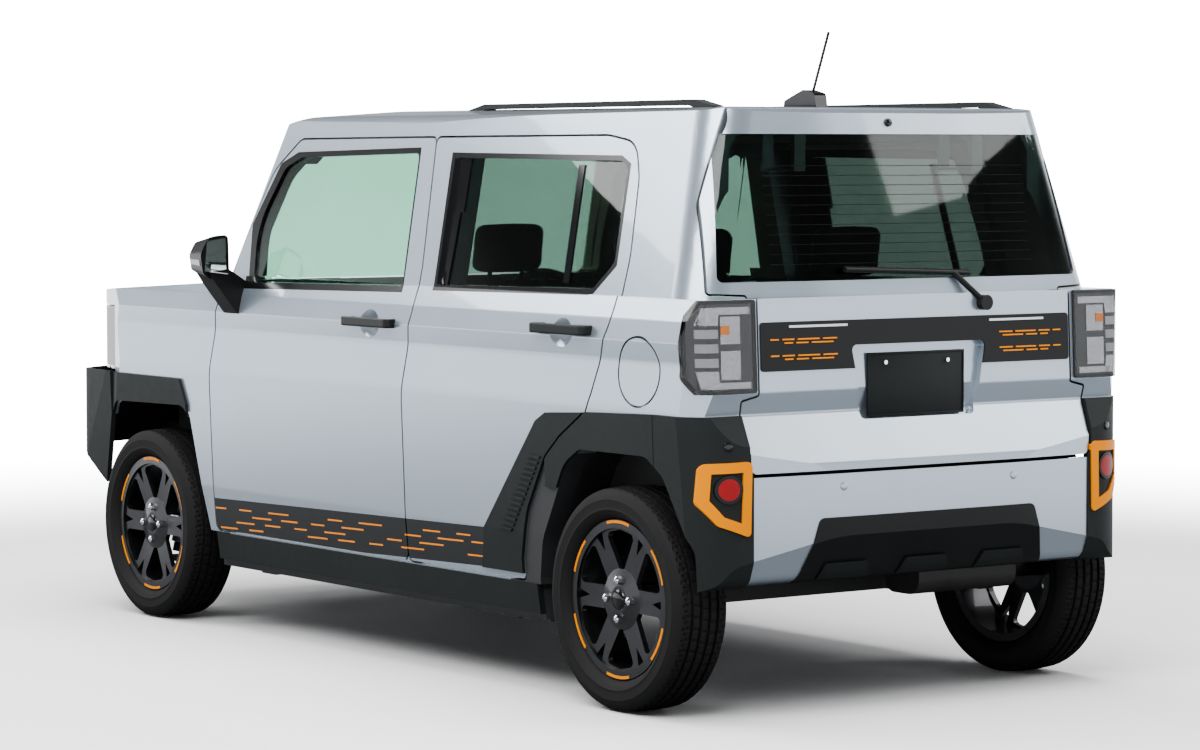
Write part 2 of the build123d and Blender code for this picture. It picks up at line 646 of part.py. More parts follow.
span = hypot(top_x - low_x, top_z - low_z)
strut_tower = rod(on_pin(span + 0.5), on_pin(span + 60), 34) & block(300, 800, -1300, -1000, 700, 862)
strut_tower = strut_tower + block(386, 530, -1230, -1080, 842, 862)
add("bulkhead", whole(bulkhead + strut_tower))
engine = block(-330, 330, -1490, -1010, 240, 800)
add("engine", fillet(engine.edges().filter_by(Axis.Z), 40))

# Wheels: tyre, rim, knuckle with strut, rear axle
tyre_profile = [
    (rim_radius - 8, -58), (rim_radius, -58), (rim_radius + 26, -80), (tyre_radius - 30, -83),
    (tyre_radius, -62),
    (tyre_radius, 62), (tyre_radius - 30, 83), (rim_radius + 26, 80), (rim_radius, 58), (rim_radius - 8, 58),
]


def spin(profile):
    sketch = make_face(Polyline(*[(r, a) for r, a in profile], close=True))
    return Rot(0, 90, 0) * revolve(Plane.XZ * sketch, Axis.Z)


tyre = spin(tyre_profile)
barrel = spin([
    (rim_radius - 22, -62), (rim_radius, -62), (rim_radius, -58), (rim_radius - 8, -58), (rim_radius - 8, 58),
    (rim_radius, 58), (rim_radius, 62), (rim_radius - 22, 62),
])
disc = spin([(0, 36), (70, 36), (rim_radius - 16, 40), (rim_radius - 16, 56), (80, 50), (34, 60), (0, 60)])
spokes = disc
for i in range(spoke_count):
    window_face = face_of([(78, -10, 6), (168, -62, 14), (180, 0, 0), (168, 62, 14), (78, 10, 6)])
    hole = extrude(Plane.YZ.offset(20) * (Rot(0, 0, 360 * (i + 0.5) / spoke_count) * window_face), amount=60)
    fork_face = Rot(0, 0, 360 * i / spoke_count) * face_of([(136, 0), (185, -14), (185, 14)])
    spokes = spokes - hole - extrude(Plane.YZ.offset(20) * fork_face, amount=60)
rim = barrel + spokes


def wheel_at(shape, side, y):
    turned = shape if side > 0 else flip(shape)
    return Pos(side * wheel_x, y, axle_z) * turned


for label, side, y in [
    ("front_left", 1, front_axle_y), ("front_right", -1, front_axle_y), ("rear_left", 1, rear_axle_y),
    ("rear_right", -1, rear_axle_y),
]:
    add("tyre_" + label, wheel_at(tyre, side, y))
    add("rim_" + label, wheel_at(rim, side, y))

knuckle = (
    rod(on_pin(13), on_pin(span), 19) + rod(on_pin(400), on_pin(span - 30), 52)
    + rod(on_pin(13), on_pin(150), 26)
)
knuckle = knuckle + rod((low_x - 18, front_axle_y, axle_z), (wheel_x + 35.5, front_axle_y, axle_z), 30)
add_pair("front_knuckle", knuckle)
arm_outline = [
    (low_x + 20, front_axle_y + 26), (low_x + 20, front_axle_y - 26), (330, front_axle_y - 40),
    (330, front_axle_y + 140), (366, front_axle_y + 130),
]
arm_plate = along_z(arm_outline, 186, 204)
subframe = (
    block(0, 330, front_axle_y - 60, front_axle_y + 260, 180, 240) + arm_plate
    + rod(on_pin(-16), on_pin(12.5), 17)
)
subframe = (
    subframe + block(320, 386, front_axle_y + 200, front_axle_y + 260, 200, 360)
    + block(334, 386, -1400, -1340, 200, 360) + block(300, 386, -1400, front_axle_y, 200, 240)
)
add("front_subframe", whole(subframe))
beam = (
    block(0, 500, rear_axle_y - 190, rear_axle_y - 120, 240, 300)
    + block(480, 530, rear_axle_y - 400, rear_axle_y + 40, 240, 300)
)
beam = beam + rod((520, rear_axle_y, axle_z), (wheel_x + 35.5, rear_axle_y, axle_z), 30)
beam = (
    beam + rod((360, rear_axle_y - 150, 300), (360, rear_axle_y - 150, 420), 45)
    + block(480, 530, rear_axle_y - 400, rear_axle_y - 350, 240, rear_floor_z[0])
)
add("rear_axle", whole(beam))

# Roof rails, aerial, exhaust
rail_outline = [
    (296, 1540, 0), (296, 1548, 0), (390, 1567, 40), (1353, 1571, 40), (1437, 1554, 0), (1437, 1540, 0),
    (1400, 1540, 0), (1330, 1556, 20), (400, 1553, 20), (345, 1540, 0),
]
rail = along_x(rail_outline, 510, 545)
rail = rail - hull(0)
add("roof_rails", rail + flip(rail))
aerial = along_x(
    [(1105, 1540, 0), (1250, 1540, 0), (1240, 1592, 15), (1190, 1602, 10), (1110, 1573, 10)], -20, 20,
)
aerial = aerial - hull(0) - flip(hull(0)) + rod((0, 1205, 1585), (0, 1275, 1754), 4)
add("aerial", aerial)
exhaust = (
    fillet(block(-420, -80, 1420, 1560, 270, 400).edges().filter_by(Axis.X), 40)
    + rod((-250, 1430, 330), (-250, 960, 320), 22) + block(-260, -240, 1480, 1500, 395, rear_floor_z[0])
)
add("exhaust", exhaust)

# Seats, dashboard and steering wheel
def seat(x, y, wide):
    base = fillet(block(x - wide / 2, x + wide / 2, y - 260, y + 250, 330, 520).edges().filter_by(Axis.X), 40)
    back = along_x(
        [(y + 190, 470, 40), (y + 300, 470, 40), (y + 470, 1060, 30), (y + 380, 1060, 30)],
        x - wide / 2 + 10, x + wide / 2 - 10,
    )
    head = along_x(
        [(y + 395, 1085, 30), (y + 480, 1085, 30), (y + 500, 1240, 30), (y + 420, 1240, 30)], x - 120,
        x + 120,
    )
    stay = (
        rod((x - 60, y + 425, 1040), (x - 60, y + 440, 1100), 8)
        + rod((x + 60, y + 425, 1040), (x + 60, y + 440, 1100), 8)
    )
    foot = block(x - 180, x + 180, y - 200, y + 200, floor_z[1], 340)
    return base + back + head + stay + foot


front_seat = seat(290, -260, 490)
add("front_seats", front_seat + flip(front_seat))
rear_seat = seat(255, 585, 490)
add("rear_seats", rear_seat + flip(rear_seat))
dash_outline = [
    (-767.9, 640, 0), (-600, 640, 30), (-500, 780, 40), (-520, 960, 40), (-640, 1010, 30),
    (-700, 1010, 0), (-767.9, 985, 0),
]
dash = along_x(dash_outline, 0, 585) & hull(pillar_depth)
dash = whole(dash)
wheel_plane = Plane(steering_place, x_dir=(1, 0, 0), z_dir=steering_normal)
ring = wheel_plane * Torus(175, 14)
hub = (
    wheel_plane * Cylinder(58, 40) + wheel_plane * Box(340, 34, 14)
    + wheel_plane * (Pos(0, -88, 0) * Box(34, 170, 14))
)
column = rod(
    tuple(wheel_plane.origin - wheel_plane.z_dir * 20),
    tuple(wheel_plane.origin - wheel_plane.z_dir * 110), 22,
)
add("steering_wheel", ring + hub + column)
shroud = rod(
    tuple(wheel_plane.origin - wheel_plane.z_dir * 60),
    tuple(wheel_plane.origin - wheel_plane.z_dir * 260), 44,
)
shroud = (
    shroud
    - rod(
        tuple(wheel_plane.origin - wheel_plane.z_dir * 40),
        tuple(wheel_plane.origin - wheel_plane.z_dir * 112), 22.06,
    )
)
column_start = tuple(wheel_plane.origin - wheel_plane.z_dir * 40)
column_end = tuple(wheel_plane.origin - wheel_plane.z_dir * 112)
add("dashboard", dash - rod(column_start, column_end, 44) + shroud)

for name, part in parts.items():
    export_step(part, f"parts/{name}.step")
print(len(parts), "nodes")
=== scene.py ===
import bpy
import bmesh
import math
from mathutils import Vector, Matrix
from mathutils.bvhtree import BVHTree


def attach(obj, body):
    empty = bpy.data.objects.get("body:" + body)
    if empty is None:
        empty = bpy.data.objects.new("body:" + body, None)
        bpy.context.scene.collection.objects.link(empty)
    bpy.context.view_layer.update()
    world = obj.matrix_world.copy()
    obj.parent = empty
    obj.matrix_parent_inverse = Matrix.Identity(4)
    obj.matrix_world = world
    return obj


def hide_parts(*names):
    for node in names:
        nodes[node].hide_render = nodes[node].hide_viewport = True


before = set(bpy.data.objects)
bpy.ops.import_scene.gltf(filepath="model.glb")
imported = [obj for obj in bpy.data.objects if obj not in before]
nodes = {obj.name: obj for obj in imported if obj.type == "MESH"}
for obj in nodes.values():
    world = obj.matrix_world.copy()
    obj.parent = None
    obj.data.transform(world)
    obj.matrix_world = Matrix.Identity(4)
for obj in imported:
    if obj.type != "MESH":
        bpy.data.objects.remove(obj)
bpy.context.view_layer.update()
sides = {"left": 1, "right": -1}
print("frame loaded,", len(nodes), "nodes")


class Wire:  # a shader socket that does sums
    def __init__(self, finish, socket):
        self.finish = finish
        self.socket = socket

    def sum(self, operation, *others):
        values = dict(enumerate((self, *others)))
        return self.finish.node("ShaderNodeMath", {"operation": operation}, values)

    def __add__(self, other):
        return self.sum("ADD", other)

    def __sub__(self, other):
        return self.sum("SUBTRACT", other)

    def __rsub__(self, other):
        return self.finish.node("ShaderNodeMath", {"operation": "SUBTRACT"}, {0: other, 1: self})

    def __mul__(self, other):
        return self.sum("MULTIPLY", other)

    def __truediv__(self, other):
        return self.sum("DIVIDE", other)

    def __mod__(self, other):
        return self.sum("FLOORED_MODULO", other)

    def __gt__(self, other):
        return self.sum("GREATER_THAN", other)

    def __lt__(self, other):
        return self.sum("LESS_THAN", other)

    def __abs__(self):
        return self.sum("ABSOLUTE")

    def floor(self):
        return self.sum("FLOOR")

    def most(self, other):
        return self.sum("MAXIMUM", other)

    def between(self, low, high):
        return (self > low) * (self < high)

    def ramp(self, low, high):
        values = {"Value": self, "From Min": low, "From Max": high}
        return self.finish.node("ShaderNodeMapRange", {"interpolation_type": "SMOOTHSTEP"}, values)


class Finish:  # one material with its nodes
    def __init__(self, name, **settings):
        self.mat = bpy.data.materials.new(name)
        self.mat.use_nodes = True
        self.tree = self.mat.node_tree
        self.shader = self.tree.nodes["Principled BSDF"]
        self.coords = None
        for key, value in settings.items():
            spaced = "".join(" " + c if c.isupper() else c for c in key).title()
            label = {"ior": "IOR", "specular": "Specular IOR Level"}.get(key, spaced)
            self.shader.inputs[label].default_value = value

    def node(self, kind, settings=None, values=None, out=0):
        made = self.tree.nodes.new(kind)
        for key, value in (settings or {}).items():
            setattr(made, key, value)
        for key, value in (values or {}).items():
            if isinstance(value, Wire):
                self.tree.links.new(value.socket, made.inputs[key])
            elif value is not None:
                made.inputs[key].default_value = value
        return Wire(self, made.outputs[out])

    def place(self):
        if self.coords is None:
            self.coords = self.node("ShaderNodeTexCoord", out="Object")
        return self.coords

    def split(self, vector):
        made = self.node("ShaderNodeSeparateXYZ", {}, {0: vector})
        return [Wire(self, made.socket.node.outputs[i]) for i in range(3)]

    def axes(self):
        return self.split(self.place())

    def facing(self):
        return self.split(self.node("ShaderNodeTexCoord", out="Normal"))

    def noise(self, scale, detail):
        values = {"Vector": self.place(), "Scale": scale, "Detail": detail}
        return self.node("ShaderNodeTexNoise", {}, values)

    def mix(self, share, first, second):
        first = (*first, 1) if isinstance(first, tuple) else first
        second = (*second, 1) if isinstance(second, tuple) else second
        return self.node("ShaderNodeMix", {"data_type": "RGBA"}, {0: share, 6: first, 7: second}, out=2)

    def feed(self, label, wire):
        self.tree.links.new(wire.socket, self.shader.inputs[label])

    def bump(self, height, strength=0.3, distance=0.001):
        values = {"Height": height, "Strength": strength, "Distance": distance}
        self.feed("Normal", self.node("ShaderNodeBump", {}, values))


def plain(name, low, high, rough, scale, grain=0.15, bump=0.0, bumpScale=None, **settings):
    finish = Finish(name, **settings)  # colour drifts between two tones, roughness with it
    drift = finish.noise(scale, 3)
    finish.feed("Base Color", finish.mix(drift, low, high))
    finish.feed("Roughness", drift * grain + (rough - grain / 2))
    if bump:
        finish.bump(finish.noise(bumpScale or scale * 4, 2), bump)
    return finish


# paint and the panels that carry other colours on the same skin: a layer has a tone and a roughness
paintLook = {
    "pearl": (0.40, 0.455, 0.51), "pearlDeep": (0.33, 0.38, 0.43), "metallic": 0.68, "flakeScale": 1400,
    "rough": 0.27, "roughDrift": 0.06, "coatRough": 0.03,
    "frame": ((0.006, 0.006, 0.007), 0.18), "trim": ((0.035, 0.036, 0.038), 0.62),
    "lining": ((0.50, 0.46, 0.40), 0.85), "band": ((0.006, 0.007, 0.008), 0.42),
    "dash": ((0.82, 0.26, 0.004), 0.42),
    "inward": -0.2, "liningFrom": 1.06, "sillTop": 0.262, "archFrom": 0.80, "archTop": 0.655,
    "roofUnder": -0.4, "tailInside": -0.3,
}
# the dark band low on the doors: its edges are slope and level along y, its dashes lie in rows
bandLook = {
    "low": (0.027, 0.301), "high": (0.021, 0.413), "outside": 0.675, "end": 0.72, "rows": 6.0,
    "rowHalf": 0.13, "kept": (0.14, 0.86), "pitch": 0.168, "rowShift": 0.43, "runStep": 0.71,
    "runRow": 0.37, "runLeast": 0.40, "runMore": 0.38, "skipStep": 0.618, "skipRow": 0.29, "skip": 0.24,
}
# window openings in the doors (y, z), each edge with the width of its black surround
frontWindow = [
    (-0.562, 1.050, 0.018), (0.262, 1.064, 0.007), (0.247, 1.432, 0.016), (-0.396, 1.419, 0.022),
    (-0.480, 1.388, 0.030), (-0.590, 1.215, 0.030),
]
rearWindow = [
    (0.440, 1.072, 0.016), (1.150, 1.082, 0.014), (1.222, 1.150, 0.012), (1.198, 1.398, 0.012),
    (1.166, 1.413, 0.014), (0.430, 1.420, 0.022),
]


def nearWindow(y, z, corners):
    worst = None  # the farthest edge decides, so this is a grown copy of the opening
    for i, (ay, az, width) in enumerate(corners):
        by, bz, _ = corners[(i + 1) % len(corners)]
        size = math.hypot(by - ay, bz - az)
        ny, nz = (bz - az) / size, -(by - ay) / size
        beyond = y * ny + z * nz - (ay * ny + az * nz + width)
        worst = beyond if worst is None else worst.most(beyond)
    return worst < 0.0


def dashBand(x, y, z):
    look = bandLook
    low, high = [y * slope + level for slope, level in (look["low"], look["high"])]
    share = (z - low) / (high - low)
    inBand = share.between(0.0, 1.0) * (abs(x) > look["outside"]) * (y < look["end"])
    lane = share * look["rows"]
    row = lane.floor()
    across = abs(lane % 1.0 - 0.5) < look["rowHalf"]
    stride = y / look["pitch"] + row * look["rowShift"]
    step = stride.floor()
    length = ((step * look["runStep"] + row * look["runRow"]) % 1.0) * look["runMore"] + look["runLeast"]
    drawn = ((step * look["skipStep"] + row * look["skipRow"]) % 1.0) > look["skip"]
    dash = inBand * across * ((stride % 1.0) < length) * drawn * share.between(*look["kept"])
    return inBand, dash


def innerSide(spot, way):
    return spot[0] * way[0] < paintLook["inward"]


def sideTrim(spot, way):
    look = paintLook
    _, y, z = spot
    low = innerSide(spot, way) * (z < look["liningFrom"])
    return low.most(z < look["sillTop"]).most((y > look["archFrom"]) * (z < look["archTop"]))


def sideLining(spot, way):
    return innerSide(spot, way) * (spot[2] > paintLook["liningFrom"])


def roofLining(spot, way):
    return way[2] < paintLook["roofUnder"]


def tailTrim(spot, way):
    return way[1] < paintLook["tailInside"]


def paintFinish(name, band=False, window=None, trim=None, lining=None):
    look = paintLook
    finish = Finish(name, metallic=look["metallic"], coatWeight=1.0, coatRoughness=look["coatRough"])
    x, y, z = finish.axes()
    colour = finish.mix(finish.noise(look["flakeScale"], 1), look["pearlDeep"], look["pearl"])
    rough = finish.noise(3, 2) * look["roughDrift"] + look["rough"]
    layers = []
    if band:
        inBand, dash = dashBand(x, y, z)
        layers += [(inBand, *look["band"]), (dash, *look["dash"])]
    if window:
        layers.append((nearWindow(y, z, window), *look["frame"]))
    for label, inside in (("trim", trim), ("lining", lining)):
        if inside:
            layers.append((inside((x, y, z), finish.facing()), *look[label]))
    other = None
    for mask, tone, value in layers:
        colour = finish.mix(mask, colour, tone)
        rough = rough * (1.0 - mask) + mask * value
        other = mask if other is None else other.most(mask)
    finish.feed("Base Color", colour)
    finish.feed("Roughness", rough)
    if other is not None:
        finish.feed("Metallic", (1.0 - other) * look["metallic"])
        finish.feed("Coat Weight", 1.0 - other)
    return finish


bodyPaint = paintFinish("pearlPaint")
frontDoorPaint = paintFinish("frontDoorPaint", band=True, window=frontWindow, trim=innerSide)
rearDoorPaint = paintFinish("rearDoorPaint", band=True, window=rearWindow, trim=innerSide)
sidePaint = paintFinish("sidePaint", trim=sideTrim, lining=sideLining)
roofPaint = paintFinish("roofPaint", lining=roofLining)
tailPaint = paintFinish("tailgatePaint", trim=tailTrim)

cladLook = {"low": (0.015, 0.017, 0.017), "high": (0.023, 0.026, 0.025), "rough": 0.46, "grain": 0.12}
clad = Finish("charcoalCladding", specular=0.2)
clad.feed("Base Color", clad.mix(clad.noise(2.5, 3), cladLook["low"], cladLook["high"]))
clad.feed("Roughness", clad.noise(40, 2) * cladLook["grain"] + cladLook["rough"])
clad.bump(clad.noise(900, 2), 0.35, 0.0006)

# each: two tones, roughness, scale of the drift, grain, bump, scale of the bump
glossBlack = plain(
    "polishedBlack", (0.006, 0.006, 0.007), (0.010, 0.010, 0.011), 0.10, 6, 0.06,
    coatWeight=0.35, specular=0.3,
)
satinBlack = plain(
    "satinBlack", (0.007, 0.007, 0.007), (0.012, 0.012, 0.012), 0.30, 5, 0.1, specular=0.25,
)
plateFinish = plain(
    "blankPlate", (0.008, 0.010, 0.010), (0.013, 0.015, 0.015), 0.45, 10, 0.1, specular=0.25,
)
orange = plain(
    "orangeLacquer", (0.80, 0.25, 0.0), (0.86, 0.29, 0.002), 0.40, 8, 0.08, 0.05, 300, specular=0.2,
)
underMetal = plain(
    "chassisBlack", (0.016, 0.016, 0.017), (0.032, 0.031, 0.030), 0.6, 9, 0.2, 0.15, 120,
)
castMetal = plain(
    "rawCasting", (0.10, 0.10, 0.105), (0.17, 0.17, 0.175), 0.55, 14, 0.2, 0.3, 160, metallic=0.7,
)
sootySteel = plain(
    "exhaustSteel", (0.035, 0.034, 0.033), (0.075, 0.072, 0.068), 0.55, 9, 0.2, 0.15, 90, metallic=0.6,
)
alloy = plain(
    "gunmetalAlloy", (0.028, 0.028, 0.030), (0.048, 0.048, 0.051), 0.32, 12, 0.1, 0.04, 400,
    metallic=0.75, coatWeight=0.4,
)
chrome = plain("chromePlate", (0.72, 0.73, 0.75), (0.80, 0.81, 0.82), 0.12, 20, 0.06, metallic=1.0)
silverTrim = plain("satinSilver", (0.50, 0.51, 0.52), (0.60, 0.61, 0.62), 0.32, 10, 0.1, metallic=0.85)
mirrorGlass = plain("mirrorSilver", (0.80, 0.82, 0.84), (0.86, 0.87, 0.88), 0.04, 4, 0.03, metallic=1.0)
cabinPlastic = plain(
    "grainedTrim", (0.028, 0.028, 0.030), (0.045, 0.045, 0.047), 0.66, 5, 0.12, 0.3, 700,
)
amberLens = plain(
    "amberLens", (0.75, 0.20, 0.004), (0.85, 0.26, 0.008), 0.3, 40, 0.06, 0.2, 260, specular=0.2,
)
paleDiode = plain("paleDiodes", (0.28, 0.27, 0.30), (0.40, 0.39, 0.42), 0.3, 120, 0.1)

# the fog lens is red inside a dark ring, whose inner edge is a share of the squared radius
lensLook = {
    "ring": 0.58, "low": (0.24, 0.002, 0.003), "high": (0.36, 0.006, 0.007), "dark": (0.008, 0.008, 0.008),
    "rough": 0.19, "grain": 0.06,
}


def ringedLens(name, points):
    finish = Finish(name, specular=0.3)
    x, _, z = finish.axes()
    reach = None
    for wire, axis in ((abs(x), 0), (z, 2)):
        low, high = min(p[axis] for p in points), max(p[axis] for p in points)
        off = (wire - (low + high) / 2) / ((high - low) / 2)
        reach = off * off if reach is None else reach + off * off
    drift = finish.noise(40, 3)
    tone = finish.mix(drift, lensLook["low"], lensLook["high"])
    finish.feed("Base Color", finish.mix(reach > lensLook["ring"], tone, lensLook["dark"]))
    finish.feed("Roughness", drift * lensLook["grain"] + lensLook["rough"])
    finish.bump(finish.noise(260, 2), 0.4)
    return finish


redLens = ringedLens("redLens", [v.co for v in nodes["rear_fog_lamps"].data.vertices if v.co.x > 0])

rubberLook = {"low": (0.008, 0.008, 0.008), "high": (0.020, 0.019, 0.019), "rough": 0.62, "grain": 0.2}
rubber = Finish("tyreRubber", specular=0.25)
rubberDust = rubber.noise(6, 4)
rubber.feed("Base Color", rubber.mix(rubberDust, rubberLook["low"], rubberLook["high"]))
rubber.feed("Roughness", rubberDust * rubberLook["grain"] + rubberLook["rough"])
rubber.bump(rubber.noise(500, 2), 0.2, 0.0006)

clothLook = {
    "low": (0.020, 0.020, 0.022), "high": (0.060, 0.060, 0.064), "threads": 2400.0, "weaveShare": 0.7,
    "fadeShare": 0.3, "rough": 0.82, "grain": 0.1,
}
cloth = Finish("seatWeave", sheenWeight=0.4)
clothX, clothY, clothZ = cloth.axes()
warp = (clothX * clothLook["threads"]).sum("SINE")
weft = ((clothY + clothZ) * clothLook["threads"]).sum("SINE")
weave = warp * weft * 0.5 + 0.5
clothShare = weave * clothLook["weaveShare"] + cloth.noise(30, 2) * clothLook["fadeShare"]
cloth.feed("Base Color", cloth.mix(clothShare, clothLook["low"], clothLook["high"]))
cloth.feed("Roughness", weave * clothLook["grain"] + clothLook["rough"])
cloth.bump(weave, 0.5, 0.0008)

glassLook = {"ior": 1.45, "darker": 0.93, "rough": 0.01, "smear": 0.02}


def glassFinish(name, tint):
    finish = Finish(name, transmissionWeight=1.0, ior=glassLook["ior"])
    smear = finish.noise(3, 2)
    darker = tuple(v * glassLook["darker"] for v in tint)
    finish.feed("Base Color", finish.mix(smear, darker, tint))
    finish.feed("Roughness", smear * glassLook["smear"] + glassLook["rough"])
    return finish


clearGlass = glassFinish("greenGlass", (0.50, 0.74, 0.62))
privacyGlass = glassFinish("privacyGlass", (0.19, 0.24, 0.215))
lampGlass = glassFinish("lampLens", (0.96, 0.97, 0.97))

dressing = {
    "aerial": glossBlack, "arch_flares": clad, "bonnet": bodyPaint, "bulkhead": underMetal,
    "dashboard": cabinPlastic, "engine": castMetal, "exhaust": sootySteel, "floor_pan": underMetal,
    "front_bumper": clad, "front_grille": glossBlack, "front_seats": cloth, "front_subframe": underMetal,
    "fuel_lid": bodyPaint, "headlamps": lampGlass, "rear_axle": underMetal, "rear_bumper": bodyPaint,
    "rear_bumper_insert": satinBlack, "rear_corner_cladding": clad, "rear_fog_lamps": redLens,
    "rear_lamp_frames": orange, "rear_seats": cloth, "rear_wiper": satinBlack, "roof_panel": roofPaint,
    "roof_rails": clad, "sill_covers": clad, "steering_wheel": cabinPlastic, "tail_lamps": lampGlass,
    "tailgate": tailPaint, "tailgate_garnish": satinBlack, "tailgate_glass": privacyGlass,
    "windscreen": clearGlass,
}
for side in sides:
    dressing.update({
        "front_door_" + side: frontDoorPaint, "rear_door_" + side: rearDoorPaint,
        "front_door_glass_" + side: clearGlass, "rear_door_glass_" + side: privacyGlass,
        "front_door_fittings_" + side: satinBlack, "rear_door_fittings_" + side: clad,
        "front_fender_" + side: bodyPaint, "side_frame_" + side: sidePaint,
        "front_knuckle_" + side: castMetal,
    })
    for end in ("front", "rear"):
        dressing["tyre_" + end + "_" + side] = rubber
        dressing["rim_" + end + "_" + side] = alloy
for name, node in nodes.items():
    node.data.materials.clear()
    node.data.materials.append(dressing[name].mat)
print("solids dressed")


def piece(name, verts, faces, finish, body, smooth=None):
    mesh = bpy.data.meshes.new(name)
    mesh.from_pydata([tuple(v) for v in verts], [], faces)
    bm = bmesh.new()
    bm.from_mesh(mesh)
    bmesh.ops.recalc_face_normals(bm, faces=bm.faces)
    bm.to_mesh(mesh)
    bm.free()
    return settle(name, mesh, finish, body, smooth)


def settle(name, mesh, finish, body, smooth=None):
    mesh.materials.clear()
    mesh.materials.append(finish.mat)
    if smooth is not None:
        mesh.shade_smooth()
        mesh.set_sharp_from_angle(angle=math.radians(smooth))
    obj = bpy.data.objects.new(name, mesh)
    bpy.context.scene.collection.objects.link(obj)
    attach(obj, body)
    return obj


def slab(size, bevel, at, turn=None):
    bm = bmesh.new()  # a bevelled block as loose geometry
    bmesh.ops.create_cube(bm, size=1.0)
    bmesh.ops.scale(bm, vec=size, verts=bm.verts)
    bmesh.ops.bevel(bm, geom=bm.edges[:], offset=bevel, segments=2, profile=0.5, affect="EDGES")
    matrix = Matrix.Translation(at) @ (turn.to_4x4() if turn else Matrix.Identity(4))
    bmesh.ops.transform(bm, matrix=matrix, verts=bm.verts)
    return bm


def merge(parts):
    bm = bmesh.new()
    for part in parts:
        mesh = bpy.data.meshes.new("passing")
        part.to_mesh(mesh)
        part.free()
        bm.from_mesh(mesh)
        bpy.data.meshes.remove(mesh)
    mesh = bpy.data.meshes.new("joined")
    bm.to_mesh(mesh)
    bm.free()
    return mesh


def evaluated(holder):
    graph = bpy.context.evaluated_depsgraph_get()
    return bpy.data.meshes.new_from_object(holder.evaluated_get(graph))


def lathe(profile, steps):
    verts, faces = [], []  # profile is (axial, radius), turned about X
    count = len(profile)
    for i in range(steps):
        a = 2 * math.pi * i / steps
        verts += [(p[0], p[1] * math.cos(a), p[1] * math.sin(a)) for p in profile]
    for i in range(steps):
        n = (i + 1) % steps
        for j in range(count - 1):
            faces.append((i * count + j, i * count + j + 1, n * count + j + 1, n * count + j))
    return verts, faces


def treeOf(*meshes):
    verts, faces = [], []
    for mesh in meshes:
        base = len(verts)
        verts += [v.co.copy() for v in mesh.vertices]
        faces += [[base + i for i in p.vertices] for p in mesh.polygons]
    return BVHTree.FromPolygons(verts, faces)


def skinOf(*names):
    return treeOf(*[nodes[name].data for name in names])


looks = {"left": (0, 3.0), "right": (0, -3.0), "rear": (1, 4.0), "front": (1, -4.0)}  # axis, ray's start


def drop(tree, look, a, b):
    axis, start = looks[look]
    origin = Vector((start, a, b)) if axis == 0 else Vector((a, start, b))
    way = Vector((0, 0, 0))
    way[axis] = -math.copysign(1, start)
    spot, normal, _, _ = tree.ray_cast(origin, way)
    return spot, normal, -way


patchLook = {"sunk": 0.0025, "grid": (5, 5), "rise": (0.0006, 0.0016)}  # rise is lift and thickness


def patchData(corners, tree, look, grid, rise):
    c = [Vector(p) for p in corners]
    across, along = grid
    top, under, faces = [], [], []
    last = None
    for i in range(along + 1):
        for j in range(across + 1):
            u, v = j / across, i / along
            q = (c[0] * (1 - u) + c[1] * u) * (1 - v) + (c[3] * (1 - u) + c[2] * u) * v
            spot, _, out = drop(tree, look, q.x, q.y)
            spot = last if spot is None else spot
            if spot is None:
                middle = (c[0] + c[1] + c[2] + c[3]) / 4
                spot = drop(tree, look, middle.x, middle.y)[0]
            last = spot
            under.append(spot - out * patchLook["sunk"])
            top.append(spot + out * (rise[0] + rise[1]))
    wide = across + 1
    count = len(top)
    for i in range(along):
        for j in range(across):
            k = i * wide + j
            faces.append((k, k + 1, k + wide + 1, k + wide))
            faces.append((count + k, count + k + wide, count + k + wide + 1, count + k + 1))
    rim = [j for j in range(wide)]
    rim += [i * wide + across for i in range(1, along + 1)]
    rim += [along * wide + j for j in range(across - 1, -1, -1)]
    rim += [i * wide for i in range(along - 1, 0, -1)]
    for k, here in enumerate(rim):
        follow = rim[(k + 1) % len(rim)]
        faces.append((here, count + here, count + follow, follow))
    return top + under, faces


def patches(name, quads, tree, look, finish, body, grid=patchLook["grid"], rise=patchLook["rise"]):
    verts, faces = [], []  # thin applied pieces that lie on the skin under their corner points
    for corners in quads:
        v, f = patchData(corners, tree, look, grid, rise)
        faces += [tuple(len(verts) + k for k in q) for q in f]
        verts += v
    return piece(name, verts, faces, finish, body, smooth=35)


def box4(a0, a1, b0, b1):
    return [(a0, b0), (a1, b0), (a1, b1), (a0, b1)]


def turned(quads, sign):
    return [[(sign * a, b) for a, b in quad] for quad in quads]


def buttons(name, spots, radius, proud, tree, finish, body, slot):
    verts, faces = [], []  # small round domed pieces set square to the rear skin
    profile = [(-0.004, radius), (proud * 0.5, radius), (proud * 0.85, radius * 0.86)]
    profile += [(proud, radius * 0.5), (proud, 0.0001)]
    ring, quads = lathe(profile, 24)
    for a, b in spots:
        spot, normal, out = drop(tree, "rear", a, b)
        square = normal if normal.dot(out) > 0 else -normal
        turn = Vector((1, 0, 0)).rotation_difference(square).to_matrix()
        faces += [tuple(len(verts) + k for k in q) for q in quads]
        verts += [spot + turn @ Vector(p) for p in ring]
    return piece(name, verts, faces, finish, body, smooth=40)


